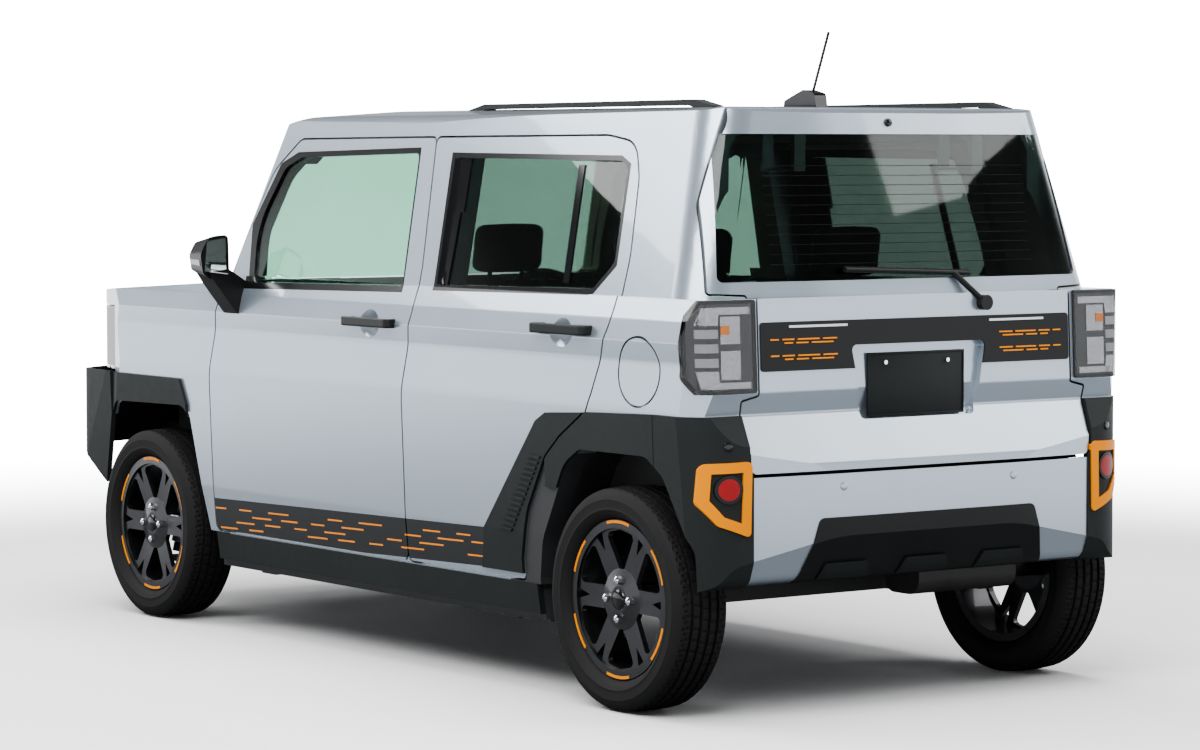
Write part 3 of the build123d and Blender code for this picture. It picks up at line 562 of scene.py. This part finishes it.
# wheels: road tyre with grooves and sipes, nuts, cap and coloured arcs
wheelLook = {
    "radius": 0.290, "trackHalf": 0.650, "axles": {"front": -1.155, "rear": 1.305},
    "nuts": 4, "nutCircle": 0.050, "nutRadius": 0.0105, "nutHeight": 0.022, "nutOut": 0.058,
    "nutSides": 6, "tipSides": 12, "tipRadius": 0.003, "tipHeight": 0.005,
    "cap": [(0.058, 0.0), (0.067, 0.001), (0.0665, 0.016), (0.064, 0.024), (0.0585, 0.0285), (0.050, 0.029)],
    "capSteps": 48, "arcs": 6, "arcRadii": (0.1965, 0.2040), "arcAngles": (16, 44), "arcX": (0.056, 0.0632),
    "arcSteps": 14,
}
treadLook = {
    "pitches": 60, "steps": 8, "crown": 0.0035, "lanes": (0.028, 0.052, 0.058, 0.064),
    "grooves": (-0.040, -0.0135, 0.0135, 0.040), "grooveHalf": 0.0038, "grooveEdge": 0.0012,
    "grooveDepth": 0.007, "sipeDepth": 0.005, "outerFrom": 0.045, "outerSkew": 90, "outerShare": 0.22,
    "innerTo": 0.036, "innerSkew": -120, "innerShare": 0.12, "innerDepth": 0.8,
    "sideWall": [
        (-0.058, 0.207), (-0.066, 0.212), (-0.075, 0.219), (-0.0795, 0.228), (-0.0808, 0.2305),
        (-0.0822, 0.232), (-0.0814, 0.234), (-0.0826, 0.243), (-0.083, 0.252), (-0.0836, 0.2585),
        (-0.0826, 0.260), (-0.0815, 0.264), (-0.078, 0.272), (-0.0735, 0.279), (-0.0685, 0.2845),
    ],
}


def treadCut(a, turns):
    look = treadLook  # depth at one place across the tread, turns counted in pitches
    if any(abs(a - g) <= look["grooveHalf"] + 1e-6 for g in look["grooves"]):
        return look["grooveDepth"]
    outer = abs(a) > look["outerFrom"]
    phase = (turns + a * look["outerSkew" if outer else "innerSkew"]) % 1.0
    if outer and phase < look["outerShare"]:
        return look["sipeDepth"]
    if abs(a) < look["innerTo"] and phase < look["innerShare"]:
        return look["sipeDepth"] * look["innerDepth"]
    return 0.0


def tyreMesh():
    look = treadLook
    lanes = {0.0} | {sign * a for a in look["lanes"] for sign in (1, -1)}
    for g in look["grooves"]:
        for reach in (look["grooveHalf"], look["grooveHalf"] + look["grooveEdge"]):
            lanes |= {g - reach, g + reach}
    lanes = sorted(lanes)
    around = look["pitches"] * look["steps"]
    verts, faces = [], []
    count = len(look["sideWall"]) * 2 + len(lanes)
    for i in range(around):
        angle = 2 * math.pi * i / around
        ring = list(look["sideWall"])
        for a in lanes:
            r = wheelLook["radius"] - look["crown"] * (a / look["lanes"][-1]) ** 2
            ring.append((a, r - treadCut(a, i / look["steps"])))
        ring += [(-a, r) for a, r in reversed(look["sideWall"])]
        verts += [(a, r * math.cos(angle), r * math.sin(angle)) for a, r in ring]
    for i in range(around):
        n = (i + 1) % around
        for j in range(count):
            k = (j + 1) % count
            faces.append((i * count + j, i * count + k, n * count + k, n * count + j))
    return verts, faces


def nutTree():
    tree = bpy.data.node_groups.new("wheelNuts", "GeometryNodeTree")
    face = tree.interface
    face.new_socket(name="Count", in_out="INPUT", socket_type="NodeSocketInt")
    for label in ("Circle Radius", "Nut Radius", "Nut Height"):
        face.new_socket(name=label, in_out="INPUT", socket_type="NodeSocketFloat")
    face.new_socket(name="Finish", in_out="INPUT", socket_type="NodeSocketMaterial")
    face.new_socket(name="Geometry", in_out="OUTPUT", socket_type="NodeSocketGeometry")
    add, link = tree.nodes.new, tree.links.new
    start, end = add("NodeGroupInput"), add("NodeGroupOutput")
    circle, nut = add("GeometryNodeMeshCircle"), add("GeometryNodeMeshCylinder")
    cone, lift = add("GeometryNodeMeshCone"), add("GeometryNodeTransform")
    join, spread = add("GeometryNodeJoinGeometry"), add("GeometryNodeInstanceOnPoints")
    half, up = add("ShaderNodeMath"), add("ShaderNodeCombineXYZ")
    real, paint = add("GeometryNodeRealizeInstances"), add("GeometryNodeSetMaterial")
    nut.inputs["Vertices"].default_value = wheelLook["nutSides"]
    cone.inputs["Vertices"].default_value = wheelLook["tipSides"]
    cone.inputs["Radius Top"].default_value = wheelLook["tipRadius"]
    cone.inputs["Depth"].default_value = wheelLook["tipHeight"]
    half.operation = "MULTIPLY"
    half.inputs[1].default_value = 0.5
    link(start.outputs["Count"], circle.inputs["Vertices"])
    link(start.outputs["Circle Radius"], circle.inputs["Radius"])
    link(start.outputs["Nut Radius"], nut.inputs["Radius"])
    link(start.outputs["Nut Height"], nut.inputs["Depth"])
    link(start.outputs["Nut Radius"], cone.inputs["Radius Bottom"])
    link(start.outputs["Nut Height"], half.inputs[0])
    link(half.outputs[0], up.inputs["Z"])
    link(cone.outputs["Mesh"], lift.inputs["Geometry"])
    link(up.outputs[0], lift.inputs["Translation"])
    link(nut.outputs["Mesh"], join.inputs[0])
    link(lift.outputs[0], join.inputs[0])
    link(circle.outputs["Mesh"], spread.inputs["Points"])
    link(join.outputs[0], spread.inputs["Instance"])
    link(spread.outputs[0], real.inputs[0])
    link(real.outputs[0], paint.inputs["Geometry"])
    link(start.outputs["Finish"], paint.inputs["Material"])
    link(paint.outputs[0], end.inputs[0])
    return tree


def grown(tree, **values):
    holder = bpy.data.objects.new("holder", bpy.data.meshes.new("holder"))
    bpy.context.scene.collection.objects.link(holder)
    mod = holder.modifiers.new("grow", "NODES")
    mod.node_group = tree
    for item in tree.interface.items_tree:
        if item.in_out == "INPUT":
            key = item.name[0].lower() + item.name[1:].replace(" ", "")
            mod[item.identifier] = values[key]
    bpy.context.view_layer.update()
    mesh = evaluated(holder)
    bpy.data.objects.remove(holder)
    return mesh


def arcBand(start):
    (inner, outer), (x0, x1), steps = wheelLook["arcRadii"], wheelLook["arcX"], wheelLook["arcSteps"]
    low, high = [start + a for a in wheelLook["arcAngles"]]
    verts, faces = [], []
    for i in range(steps + 1):
        a = math.radians(low + (high - low) * i / steps)
        for r, x in ((inner, x0), (outer, x0), (outer, x1), (inner, x1)):
            verts.append((x, r * math.cos(a), r * math.sin(a)))
    for i in range(steps):
        for j in range(4):
            k = (j + 1) % 4
            faces.append((i * 4 + j, i * 4 + k, i * 4 + 4 + k, i * 4 + 4 + j))
    faces += [(0, 1, 2, 3), (steps * 4 + 3, steps * 4 + 2, steps * 4 + 1, steps * 4)]
    return verts, faces


def atHub(points, hub, sign):
    return [(hub[0] + sign * p[0], hub[1] + p[1], hub[2] + p[2]) for p in points]


tyreVerts, tyreFaces = tyreMesh()
capVerts, capFaces = lathe(wheelLook["cap"], wheelLook["capSteps"])
arcVerts, arcFaces = [], []
for i in range(wheelLook["arcs"]):
    v, f = arcBand(i * 360 / wheelLook["arcs"])
    arcFaces += [tuple(len(arcVerts) + k for k in q) for q in f]
    arcVerts += v
nuts = nutTree()
for end, axleY in wheelLook["axles"].items():
    for side, sign in sides.items():
        label = end + "_" + side
        body = "wheel_" + label
        hub = (sign * wheelLook["trackHalf"], axleY, wheelLook["radius"])
        tyrePoints = atHub(tyreVerts, hub, sign)
        tyre = piece("road_tyre_" + label, tyrePoints, tyreFaces, rubber, body, smooth=38)
        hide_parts("tyre_" + label)
        nutMesh = grown(
            nuts, count=wheelLook["nuts"], circleRadius=wheelLook["nutCircle"],
            nutRadius=wheelLook["nutRadius"], nutHeight=wheelLook["nutHeight"], finish=chrome.mat,
        )
        outward = Matrix.Rotation(math.radians(90 * sign), 4, "Y")
        lift = Matrix.Translation((0, 0, wheelLook["nutOut"]))
        nutMesh.transform(Matrix.Translation(hub) @ outward @ lift)
        settle("wheel_nuts_" + label, nutMesh, chrome, body, smooth=30)
        capPoints = atHub(capVerts, hub, sign)
        piece("wheel_cap_" + label, capPoints, capFaces, glossBlack, body, smooth=40)
        arcPoints = atHub(arcVerts, hub, sign)
        piece("rim_arcs_" + label, arcPoints, arcFaces, orange, body, smooth=30)
print("wheels done")

# blank number plate on its bosses
plateLook = {
    "size": (0.330, 0.0012, 0.165), "centre": (0, 1.6372, 0.838), "edge": 0.0004,
    "rimInset": 0.004, "rimWide": 0.003, "rimDeep": 0.0028, "rimLift": 0.0012, "rimEdge": 0.0008,
    "bolt": (0.105, 1.6405, 0.895), "boltRadii": (0.0065, 0.0062), "boltDepth": 0.006, "boltSides": 6,
}
plateParts = [slab(plateLook["size"], plateLook["edge"], plateLook["centre"])]
plateWide, _, plateHigh = plateLook["size"]
inset, rimWide = plateLook["rimInset"], plateLook["rimWide"]
rims = [((0, s * (plateHigh / 2 - inset)), (plateWide - 2 * rimWide, rimWide)) for s in (1, -1)]
rims += [((s * (plateWide / 2 - inset), 0), (rimWide, plateHigh - 4 * rimWide)) for s in (1, -1)]
for (dx, dz), (sx, sz) in rims:
    at = Vector(plateLook["centre"]) + Vector((dx, plateLook["rimLift"], dz))
    plateParts.append(slab((sx, plateLook["rimDeep"], sz), plateLook["rimEdge"], at))
settle("number_plate", merge(plateParts), plateFinish, "tailgate", smooth=30)
boltParts = []
boltX, boltY, boltZ = plateLook["bolt"]
for sign in (-1, 1):
    bm = bmesh.new()
    bmesh.ops.create_cone(
        bm, cap_ends=True, segments=plateLook["boltSides"], radius1=plateLook["boltRadii"][0],
        radius2=plateLook["boltRadii"][1], depth=plateLook["boltDepth"],
    )
    matrix = Matrix.Translation((sign * boltX, boltY, boltZ)) @ Matrix.Rotation(math.radians(-90), 4, "X")
    bmesh.ops.transform(bm, matrix=matrix, verts=bm.verts)
    boltParts.append(bm)
settle("plate_bolts", merge(boltParts), chrome, "tailgate", smooth=30)

# lamps: a dark housing inside each lens, carrying reflectors and diode blocks
lampLook = {
    "shrink": 0.014, "blocks": ((0.972, 0.994), (0.936, 0.958), (0.900, 0.922)), "blockX": (0.655, 0.706),
    "armX": (0.556, 0.690), "topArm": (1.031, 1.049), "lowArm": (0.845, 0.861),
    "hookX": (0.696, 0.652), "hookZ": (1.004, 0.890), "windowX": (0.586, 0.647),
    "windows": ((0.957, 1.026), (0.868, 0.940)), "amber": (0.620, 0.647, 0.981, 1.003),
}
headLook = {
    "cellX": (0.455, 0.520), "pitch": 0.075, "cells": 2, "cellZ": (0.775, 0.835), "cellHigh": 0.05,
    "strip": (0.44, 0.61, 0.905, 0.925),
}
housingFinish = plain(
    "lampHousing", (0.020, 0.020, 0.022), (0.035, 0.035, 0.037), 0.3, 30, 0.1, specular=0.3,
)
reflector = plain(
    "lampReflector", (0.14, 0.14, 0.15), (0.40, 0.40, 0.41), 0.14, 160, 0.1, 0.6, 220, metallic=0.7,
)


def shrunk(node, name):
    mesh = nodes[node].data.copy()
    bm = bmesh.new()
    bm.from_mesh(mesh)
    bmesh.ops.remove_doubles(bm, verts=bm.verts, dist=1e-5)
    bm.normal_update()
    moves = [v.normal * -lampLook["shrink"] for v in bm.verts]
    for v, move in zip(bm.verts, moves):
        v.co += move
    bm.to_mesh(mesh)
    bm.free()
    settle(name, mesh, housingFinish, "body")
    return treeOf(mesh)


tailTree = shrunk("tail_lamps", "tail_lamp_housings")
blockX, armX, (farX, nearX) = lampLook["blockX"], lampLook["armX"], lampLook["hookX"]
top, low, (topZ, lowZ) = lampLook["topArm"], lampLook["lowArm"], lampLook["hookZ"]
diodes = [box4(*blockX, *block) for block in lampLook["blocks"]]
arms = [
    box4(*armX, *top), box4(*armX, *low),
    [(blockX[0], topZ), (blockX[1], topZ), (farX, top[1]), (nearX, top[0])],
    [(blockX[0], lowZ), (blockX[1], lowZ), (farX, low[0]), (nearX, low[1])],
]
arms += [box4(*lampLook["windowX"], *window) for window in lampLook["windows"]]
amber = [box4(*lampLook["amber"])]
for side, sign in sides.items():
    patches(
        "tail_diodes_" + side, turned(diodes, sign), tailTree, "rear", paleDiode, "body",
        grid=(5, 3), rise=(0.003, 0.002),
    )
    patches(
        "tail_reflectors_" + side, turned(arms, sign), tailTree, "rear", reflector, "body",
        grid=(6, 4), rise=(0.002, 0.002),
    )
    patches(
        "tail_amber_" + side, turned(amber, sign), tailTree, "rear", amberLens, "body",
        grid=(4, 4), rise=(0.005, 0.002),
    )
headTree = shrunk("headlamps", "headlamp_housings")
cells = []
for i in range(headLook["cells"]):
    x0, x1 = [x + i * headLook["pitch"] for x in headLook["cellX"]]
    cells += [box4(x0, x1, z, z + headLook["cellHigh"]) for z in headLook["cellZ"]]
strip = [box4(*headLook["strip"])]
for side, sign in sides.items():
    patches(
        "head_reflectors_" + side, turned(cells, sign), headTree, "front", reflector, "body",
        grid=(6, 6), rise=(0.002, 0.003),
    )
    patches(
        "head_diodes_" + side, turned(strip, sign), headTree, "front", paleDiode, "body",
        grid=(8, 2), rise=(0.003, 0.002),
    )
print("lamps done")

# tailgate and bumper trim: silver bars, orange dashes, sensors, pads, heater lines, washer nozzle
trimLook = {
    "bar": (0.240, 0.430, 0.993, 0.999), "dashRows": (0.962, 0.953, 0.921, 0.912), "dashStart": 0.275,
    "dashRuns": (0.045, 0.070, 0.038, 0.026), "dashGap": 0.012, "dashHigh": 0.0036,
}
garnishTree = skinOf("tailgate_garnish")
bars = [box4(*trimLook["bar"])]
patches(
    "garnish_lines", turned(bars, 1) + turned(bars, -1), garnishTree, "rear", silverTrim, "tailgate",
    grid=(24, 1),
)
dashes = []
for r, z in enumerate(trimLook["dashRows"]):
    x = trimLook["dashStart"] + (trimLook["dashGap"] if r % 2 else 0.0)
    for run in trimLook["dashRuns"][r % 2:]:
        dashes.append(box4(x, x + run, z, z + trimLook["dashHigh"]))
        x += run + trimLook["dashGap"]
patches(
    "garnish_dashes", turned(dashes, 1) + turned(dashes, -1), garnishTree, "rear", orange, "tailgate",
    grid=(3, 1),
)

# round sensors and nozzle: places (x, z), radius, how far they stand out
sensorLook = {
    "bumper": ([(0.287, 0.588), (-0.287, 0.588)], 0.011, 0.002),
    "corner": ([(0.640, 0.702), (-0.640, 0.702)], 0.012, 0.003),
    "washer": ([(0.02, 1.512)], 0.011, 0.008),
}
bumperTree, cornerTree = skinOf("rear_bumper"), skinOf("rear_corner_cladding")
buttons("bumper_sensors", *sensorLook["bumper"], bumperTree, bodyPaint, "body", "body_paint")
buttons("corner_sensors", *sensorLook["corner"], cornerTree, glossBlack, "body", "gloss_black")

# three raised pads on the bumper insert: height and half width of the lower and upper edge
padLook = {"centres": (-0.265, 0.0, 0.265), "low": (0.350, 0.085), "high": (0.392, 0.065)}
(padLow, lowHalf), (padHigh, highHalf) = padLook["low"], padLook["high"]
pads = []
for c in padLook["centres"]:
    lowEdge = [(c - lowHalf, padLow), (c + lowHalf, padLow)]
    pads.append(lowEdge + [(c + highHalf, padHigh), (c - highHalf, padHigh)])
patches(
    "insert_pads", pads, skinOf("rear_bumper_insert"), "rear", clad, "body",
    grid=(6, 4), rise=(0.004, 0.004),
)

heaterLook = {"rows": 11, "low": 1.150, "high": 1.400, "half": 0.440, "line": 0.0012}
heaterPrint = plain(
    "heaterPrint", (0.005, 0.004, 0.004), (0.008, 0.007, 0.006), 0.6, 40, 0.1, specular=0.2,
)
wires = []
for i in range(heaterLook["rows"]):
    z = heaterLook["low"] + (heaterLook["high"] - heaterLook["low"]) * i / (heaterLook["rows"] - 1)
    wires.append(box4(-heaterLook["half"], heaterLook["half"], z, z + heaterLook["line"]))
patches(
    "heater_lines", wires, skinOf("tailgate_glass"), "rear", heaterPrint, "tailgate",
    grid=(24, 1), rise=(0.0, 0.0002),
)
buttons("washer_nozzle", *sensorLook["washer"], skinOf("tailgate"), glossBlack, "tailgate", "gloss_black")

# door trim: bars over the rear window, ribs on the flare, mirror glass and repeater lens
barLook = [
    [(1.010, 1.094), (1.036, 1.094), (1.009, 1.402), (0.983, 1.402)],
    [(0.430, 1.270), (0.500, 1.270), (0.498, 1.418), (0.430, 1.418)],
    [(0.436, 1.074), (0.478, 1.074), (0.484, 1.270), (0.430, 1.270)],
]
ribLook = {
    "count": 15, "from": 0.15, "to": 0.72,
    "edges": (((0.782, 0.430), (0.938, 0.646)), ((0.836, 0.426), (0.988, 0.642))),
}
mirrorLook = {
    "glass": [(0.764, 1.074), (0.836, 1.084), (0.828, 1.172), (0.766, 1.182)],
    "lens": [(-0.690, 1.104), (-0.615, 1.100), (-0.615, 1.118), (-0.690, 1.118)],
}
ribs = []
for i in range(ribLook["count"]):
    ends = []
    for part in (ribLook["from"], ribLook["to"]):
        share = (i + part) / ribLook["count"]
        ends.append([tuple(Vector(a).lerp(Vector(b), share)) for a, b in ribLook["edges"]])
    ribs.append([ends[0][0], ends[0][1], ends[1][1], ends[1][0]])
for side, sign in sides.items():
    frontDoor, rearDoor = "front_door_" + side, "rear_door_" + side
    patches(
        "window_bars_" + side, barLook, skinOf("rear_door_glass_" + side, rearDoor), side, glossBlack,
        rearDoor, grid=(4, 10), rise=(0.0008, 0.003),
    )
    patches(
        "flare_ribs_" + side, ribs, skinOf("rear_door_fittings_" + side), side, clad, rearDoor,
        grid=(3, 2), rise=(0.001, 0.0025),
    )
    mirrorTree = skinOf("front_door_fittings_" + side)
    patches(
        "mirror_glass_" + side, turned([mirrorLook["glass"]], sign), mirrorTree, "rear", mirrorGlass,
        frontDoor, grid=(6, 6), rise=(0.0, 0.0016),
    )
    patches(
        "mirror_lens_" + side, [mirrorLook["lens"]], mirrorTree, side, paleDiode, frontDoor,
        grid=(6, 3), rise=(0.0, 0.002),
    )
print("trim done")

# seats: stuffed base, back and head rest, swelled as cloth, then pressed in along the seams
seatLook = {
    "places": {"front_seats": (0.290, -0.260), "rear_seats": (0.255, 0.585)}, "voxel": 0.008, "frames": 20,
    "pressure": 4.0, "cap": 0.014, "seamDepth": 0.008, "seamWidth": 0.009, "round": 0.026, "roundSteps": 4,
    "foot": (0.340, 0.380, 0.100), "footEdge": 0.012, "footZ": 0.290,
    "post": (0.012, 0.012, 0.110), "postEdge": 0.004, "postX": 0.055, "postY": 0.432, "postZ": 1.075,
    "postLean": -15,
}
cushionShapes = {  # side outline (y, z), width, and seam places across and along
    "base": (
        [(-0.250, 0.345), (0.240, 0.345), (0.240, 0.500), (-0.250, 0.508)], 0.462,
        (0.150,), (0.28, 0.52, 0.76),
    ),
    "back": (
        [(0.208, 0.478), (0.290, 0.478), (0.456, 1.045), (0.388, 1.048)], 0.442,
        (0.140,), (0.25, 0.48, 0.72),
    ),
    "head": ([(0.404, 1.094), (0.470, 1.094), (0.488, 1.228), (0.430, 1.230)], 0.222, (), ()),
}


def stuffed(holder):
    look = seatLook
    fine = holder.data
    rest = [v.co.copy() for v in fine.vertices]
    stuffing = holder.modifiers.new("stuffing", "CLOTH")
    stuffing.settings.use_pressure = True
    stuffing.settings.uniform_pressure_force = look["pressure"]
    stuffing.settings.effector_weights.gravity = 0.0
    for number in range(1, look["frames"] + 1):
        bpy.context.scene.frame_set(number)
    puffed = evaluated(holder)
    holder.modifiers.clear()
    for v, soft, old in zip(fine.vertices, puffed.vertices, rest):
        move = soft.co - old
        v.co = old + (move.normalized() * look["cap"] if move.length > look["cap"] else move)
    bpy.context.scene.frame_set(1)


def swelled(shape):
    look = seatLook
    outline, width, lanes, rows = cushionShapes[shape]
    verts = [(sx * width / 2, y, z) for sx in (-1, 1) for y, z in outline]
    faces = [(0, 1, 2, 3), (7, 6, 5, 4)]
    faces += [(i, i + 4, (i + 1) % 4 + 4, (i + 1) % 4) for i in range(4)]
    mesh = bpy.data.meshes.new("cushion")
    mesh.from_pydata(verts, [], faces)
    bm = bmesh.new()
    bm.from_mesh(mesh)
    bmesh.ops.bevel(
        bm, geom=bm.edges[:], offset=look["round"], segments=look["roundSteps"], profile=0.5, affect="EDGES",
    )
    bmesh.ops.recalc_face_normals(bm, faces=bm.faces)
    bm.to_mesh(mesh)
    bm.free()
    holder = bpy.data.objects.new("cushion", mesh)
    bpy.context.scene.collection.objects.link(holder)
    skin = holder.modifiers.new("skin", "REMESH")
    skin.mode = "VOXEL"
    skin.voxel_size = look["voxel"]
    bpy.context.view_layer.update()
    fine = evaluated(holder)
    holder.modifiers.clear()
    holder.data = fine
    stuffed(holder)
    fine.update()
    low = Vector((0, *outline[0]))
    along = Vector((0, *outline[1 if shape == "base" else 3])) - low
    long = along.length
    along = along / long
    normals = [v.normal.copy() for v in fine.vertices]
    for v, normal in zip(fine.vertices, normals):
        run = (v.co - low).dot(along) / long
        sunk = 0.0
        for lane in lanes:
            sunk = max(sunk, math.exp(-((abs(v.co.x) - lane) / look["seamWidth"]) ** 2))
        if not lanes or abs(v.co.x) < lanes[0]:
            for row in rows:
                sunk = max(sunk, math.exp(-((run - row) * long / look["seamWidth"]) ** 2))
        v.co -= normal * sunk * look["seamDepth"]
    points = [v.co.copy() for v in fine.vertices]
    quads = [tuple(q.vertices) for q in fine.polygons]
    bpy.data.objects.remove(holder)
    return points, quads


cushions = {shape: swelled(shape) for shape in cushionShapes}
postLean = Matrix.Rotation(math.radians(seatLook["postLean"]), 3, "X")
for row, (seatX, seatY) in seatLook["places"].items():
    verts, faces, stays = [], [], []
    for sign in (1, -1):
        for points, quads in cushions.values():
            faces += [tuple(len(verts) + k for k in q) for q in quads]
            verts += [p + Vector((sign * seatX, seatY, 0)) for p in points]
        foot = (sign * seatX, seatY, seatLook["footZ"])
        stays.append(slab(seatLook["foot"], seatLook["footEdge"], foot))
        for dx in (-seatLook["postX"], seatLook["postX"]):
            post = (sign * seatX + dx, seatY + seatLook["postY"], seatLook["postZ"])
            stays.append(slab(seatLook["post"], seatLook["postEdge"], post, postLean))
    cushionName, frameName = [row.replace("seats", end) for end in ("seat_cushions", "seat_frames")]
    covered = piece(cushionName, verts, faces, cloth, "body", smooth=60)
    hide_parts(row)
    settle(frameName, merge(stays), cabinPlastic, "body", smooth=35)
print("seats done")

# camera at the photograph's angle, soft studio light, pale floor
stageLook = {
    "azimuth": 144.28, "elevation": 3.17, "eye": (6.3683, 9.1347, 1.4426), "lens": 113.6, "sensor": 36.0,
    "shiftX": -0.00825, "shiftY": -0.0133, "sight": 200, "surround": 9.0, "tint": (0.95, 0.97, 1.0, 1),
    "sky": {"From Min": 0.08, "From Max": 0.22, "To Min": 2.1, "To Max": 0.15},
    "floor": ((0.82, 0.82, 0.82), (0.88, 0.88, 0.88)), "floorBounce": (0.16, 0.17, 0.18),
    "floorRough": 0.7, "floorHalf": 9, "floorFade": (3.2, 8.0), "contrast": "AgX - Medium High Contrast",
}
eye = bpy.data.cameras.new("eye")
eyeObj = bpy.data.objects.new("eye", eye)
bpy.context.scene.collection.objects.link(eyeObj)
turnA, turnE = math.radians(stageLook["azimuth"]), math.radians(stageLook["elevation"])
back = Vector((math.sin(turnA) * math.cos(turnE), -math.cos(turnA) * math.cos(turnE), math.sin(turnE)))
eyeObj.location = stageLook["eye"]
eyeObj.rotation_mode = "QUATERNION"
eyeObj.rotation_quaternion = (-back).to_track_quat("-Z", "Y")
eye.lens, eye.sensor_width = stageLook["lens"], stageLook["sensor"]
eye.shift_x, eye.shift_y = stageLook["shiftX"], stageLook["shiftY"]
eye.clip_end = stageLook["sight"]
bpy.context.scene.camera = eyeObj

# the floor is pale to the camera, dimmer to reflections, and melts into the surround
floorFinish = Finish("paleFloor", roughness=stageLook["floorRough"])
floorX, floorY, _ = floorFinish.axes()
spread = (floorX * floorX + floorY * floorY).sum("SQRT")
direct = floorFinish.node("ShaderNodeLightPath", out="Is Camera Ray")
floorTone = floorFinish.mix(floorFinish.noise(1.5, 3), *stageLook["floor"])
floorFinish.feed("Base Color", floorFinish.mix(direct, stageLook["floorBounce"], floorTone))
floorFinish.feed("Alpha", 1.0 - spread.ramp(*stageLook["floorFade"]))
half = stageLook["floorHalf"]
floorMesh = bpy.data.meshes.new("studio_floor")
floorMesh.from_pydata([(*corner, 0) for corner in box4(-half, half, -half, half)], [], [(0, 1, 2, 3)])
floorMesh.materials.append(floorFinish.mat)
floorObj = bpy.data.objects.new("studio_floor", floorMesh)
bpy.context.scene.collection.objects.link(floorObj)

lights = [  # place, aim, size, power
    ((5.5, 4.0, 6.0), (0, 0.3, 0.9), (6, 4), 620), ((-6.0, 5.0, 5.0), (0, 0.5, 0.8), (5, 4), 260),
    ((4.5, -6.0, 5.5), (0, -0.4, 0.8), (6, 4), 420), ((0, 0, 7.0), (0, 0, 0), (6, 8), 800),
]
for i, (place, aim, size, power) in enumerate(lights):
    data = bpy.data.lights.new("softbox%d" % i, "AREA")
    data.shape = "RECTANGLE"
    data.size, data.size_y = size
    data.energy = power
    lamp = bpy.data.objects.new("softbox%d" % i, data)
    lamp.location = place
    lamp.rotation_euler = (Vector(aim) - Vector(place)).to_track_quat("-Z", "Y").to_euler()
    bpy.context.scene.collection.objects.link(lamp)

# bright round the horizon, dimmer overhead, like a walled studio; white where the camera looks at it
world = bpy.data.worlds.new("studio")
bpy.context.scene.world = world
world.use_nodes = True
sky = world.node_tree
heading = sky.nodes.new("ShaderNodeTexCoord")
height = sky.nodes.new("ShaderNodeSeparateXYZ")
fade = sky.nodes.new("ShaderNodeMapRange")
fade.interpolation_type = "SMOOTHSTEP"
for label, value in stageLook["sky"].items():
    fade.inputs[label].default_value = value
sky.links.new(heading.outputs["Generated"], height.inputs[0])
sky.links.new(height.outputs["Z"], fade.inputs["Value"])
seen = sky.nodes.new("ShaderNodeLightPath")
pick = sky.nodes.new("ShaderNodeMix")
pick.inputs["B"].default_value = stageLook["surround"]
sky.links.new(seen.outputs["Is Camera Ray"], pick.inputs["Factor"])
sky.links.new(fade.outputs[0], pick.inputs["A"])
background = sky.nodes["Background"]
background.inputs["Color"].default_value = stageLook["tint"]
sky.links.new(pick.outputs[0], background.inputs["Strength"])
bpy.context.scene.view_settings.look = stageLook["contrast"]
print("stage set")
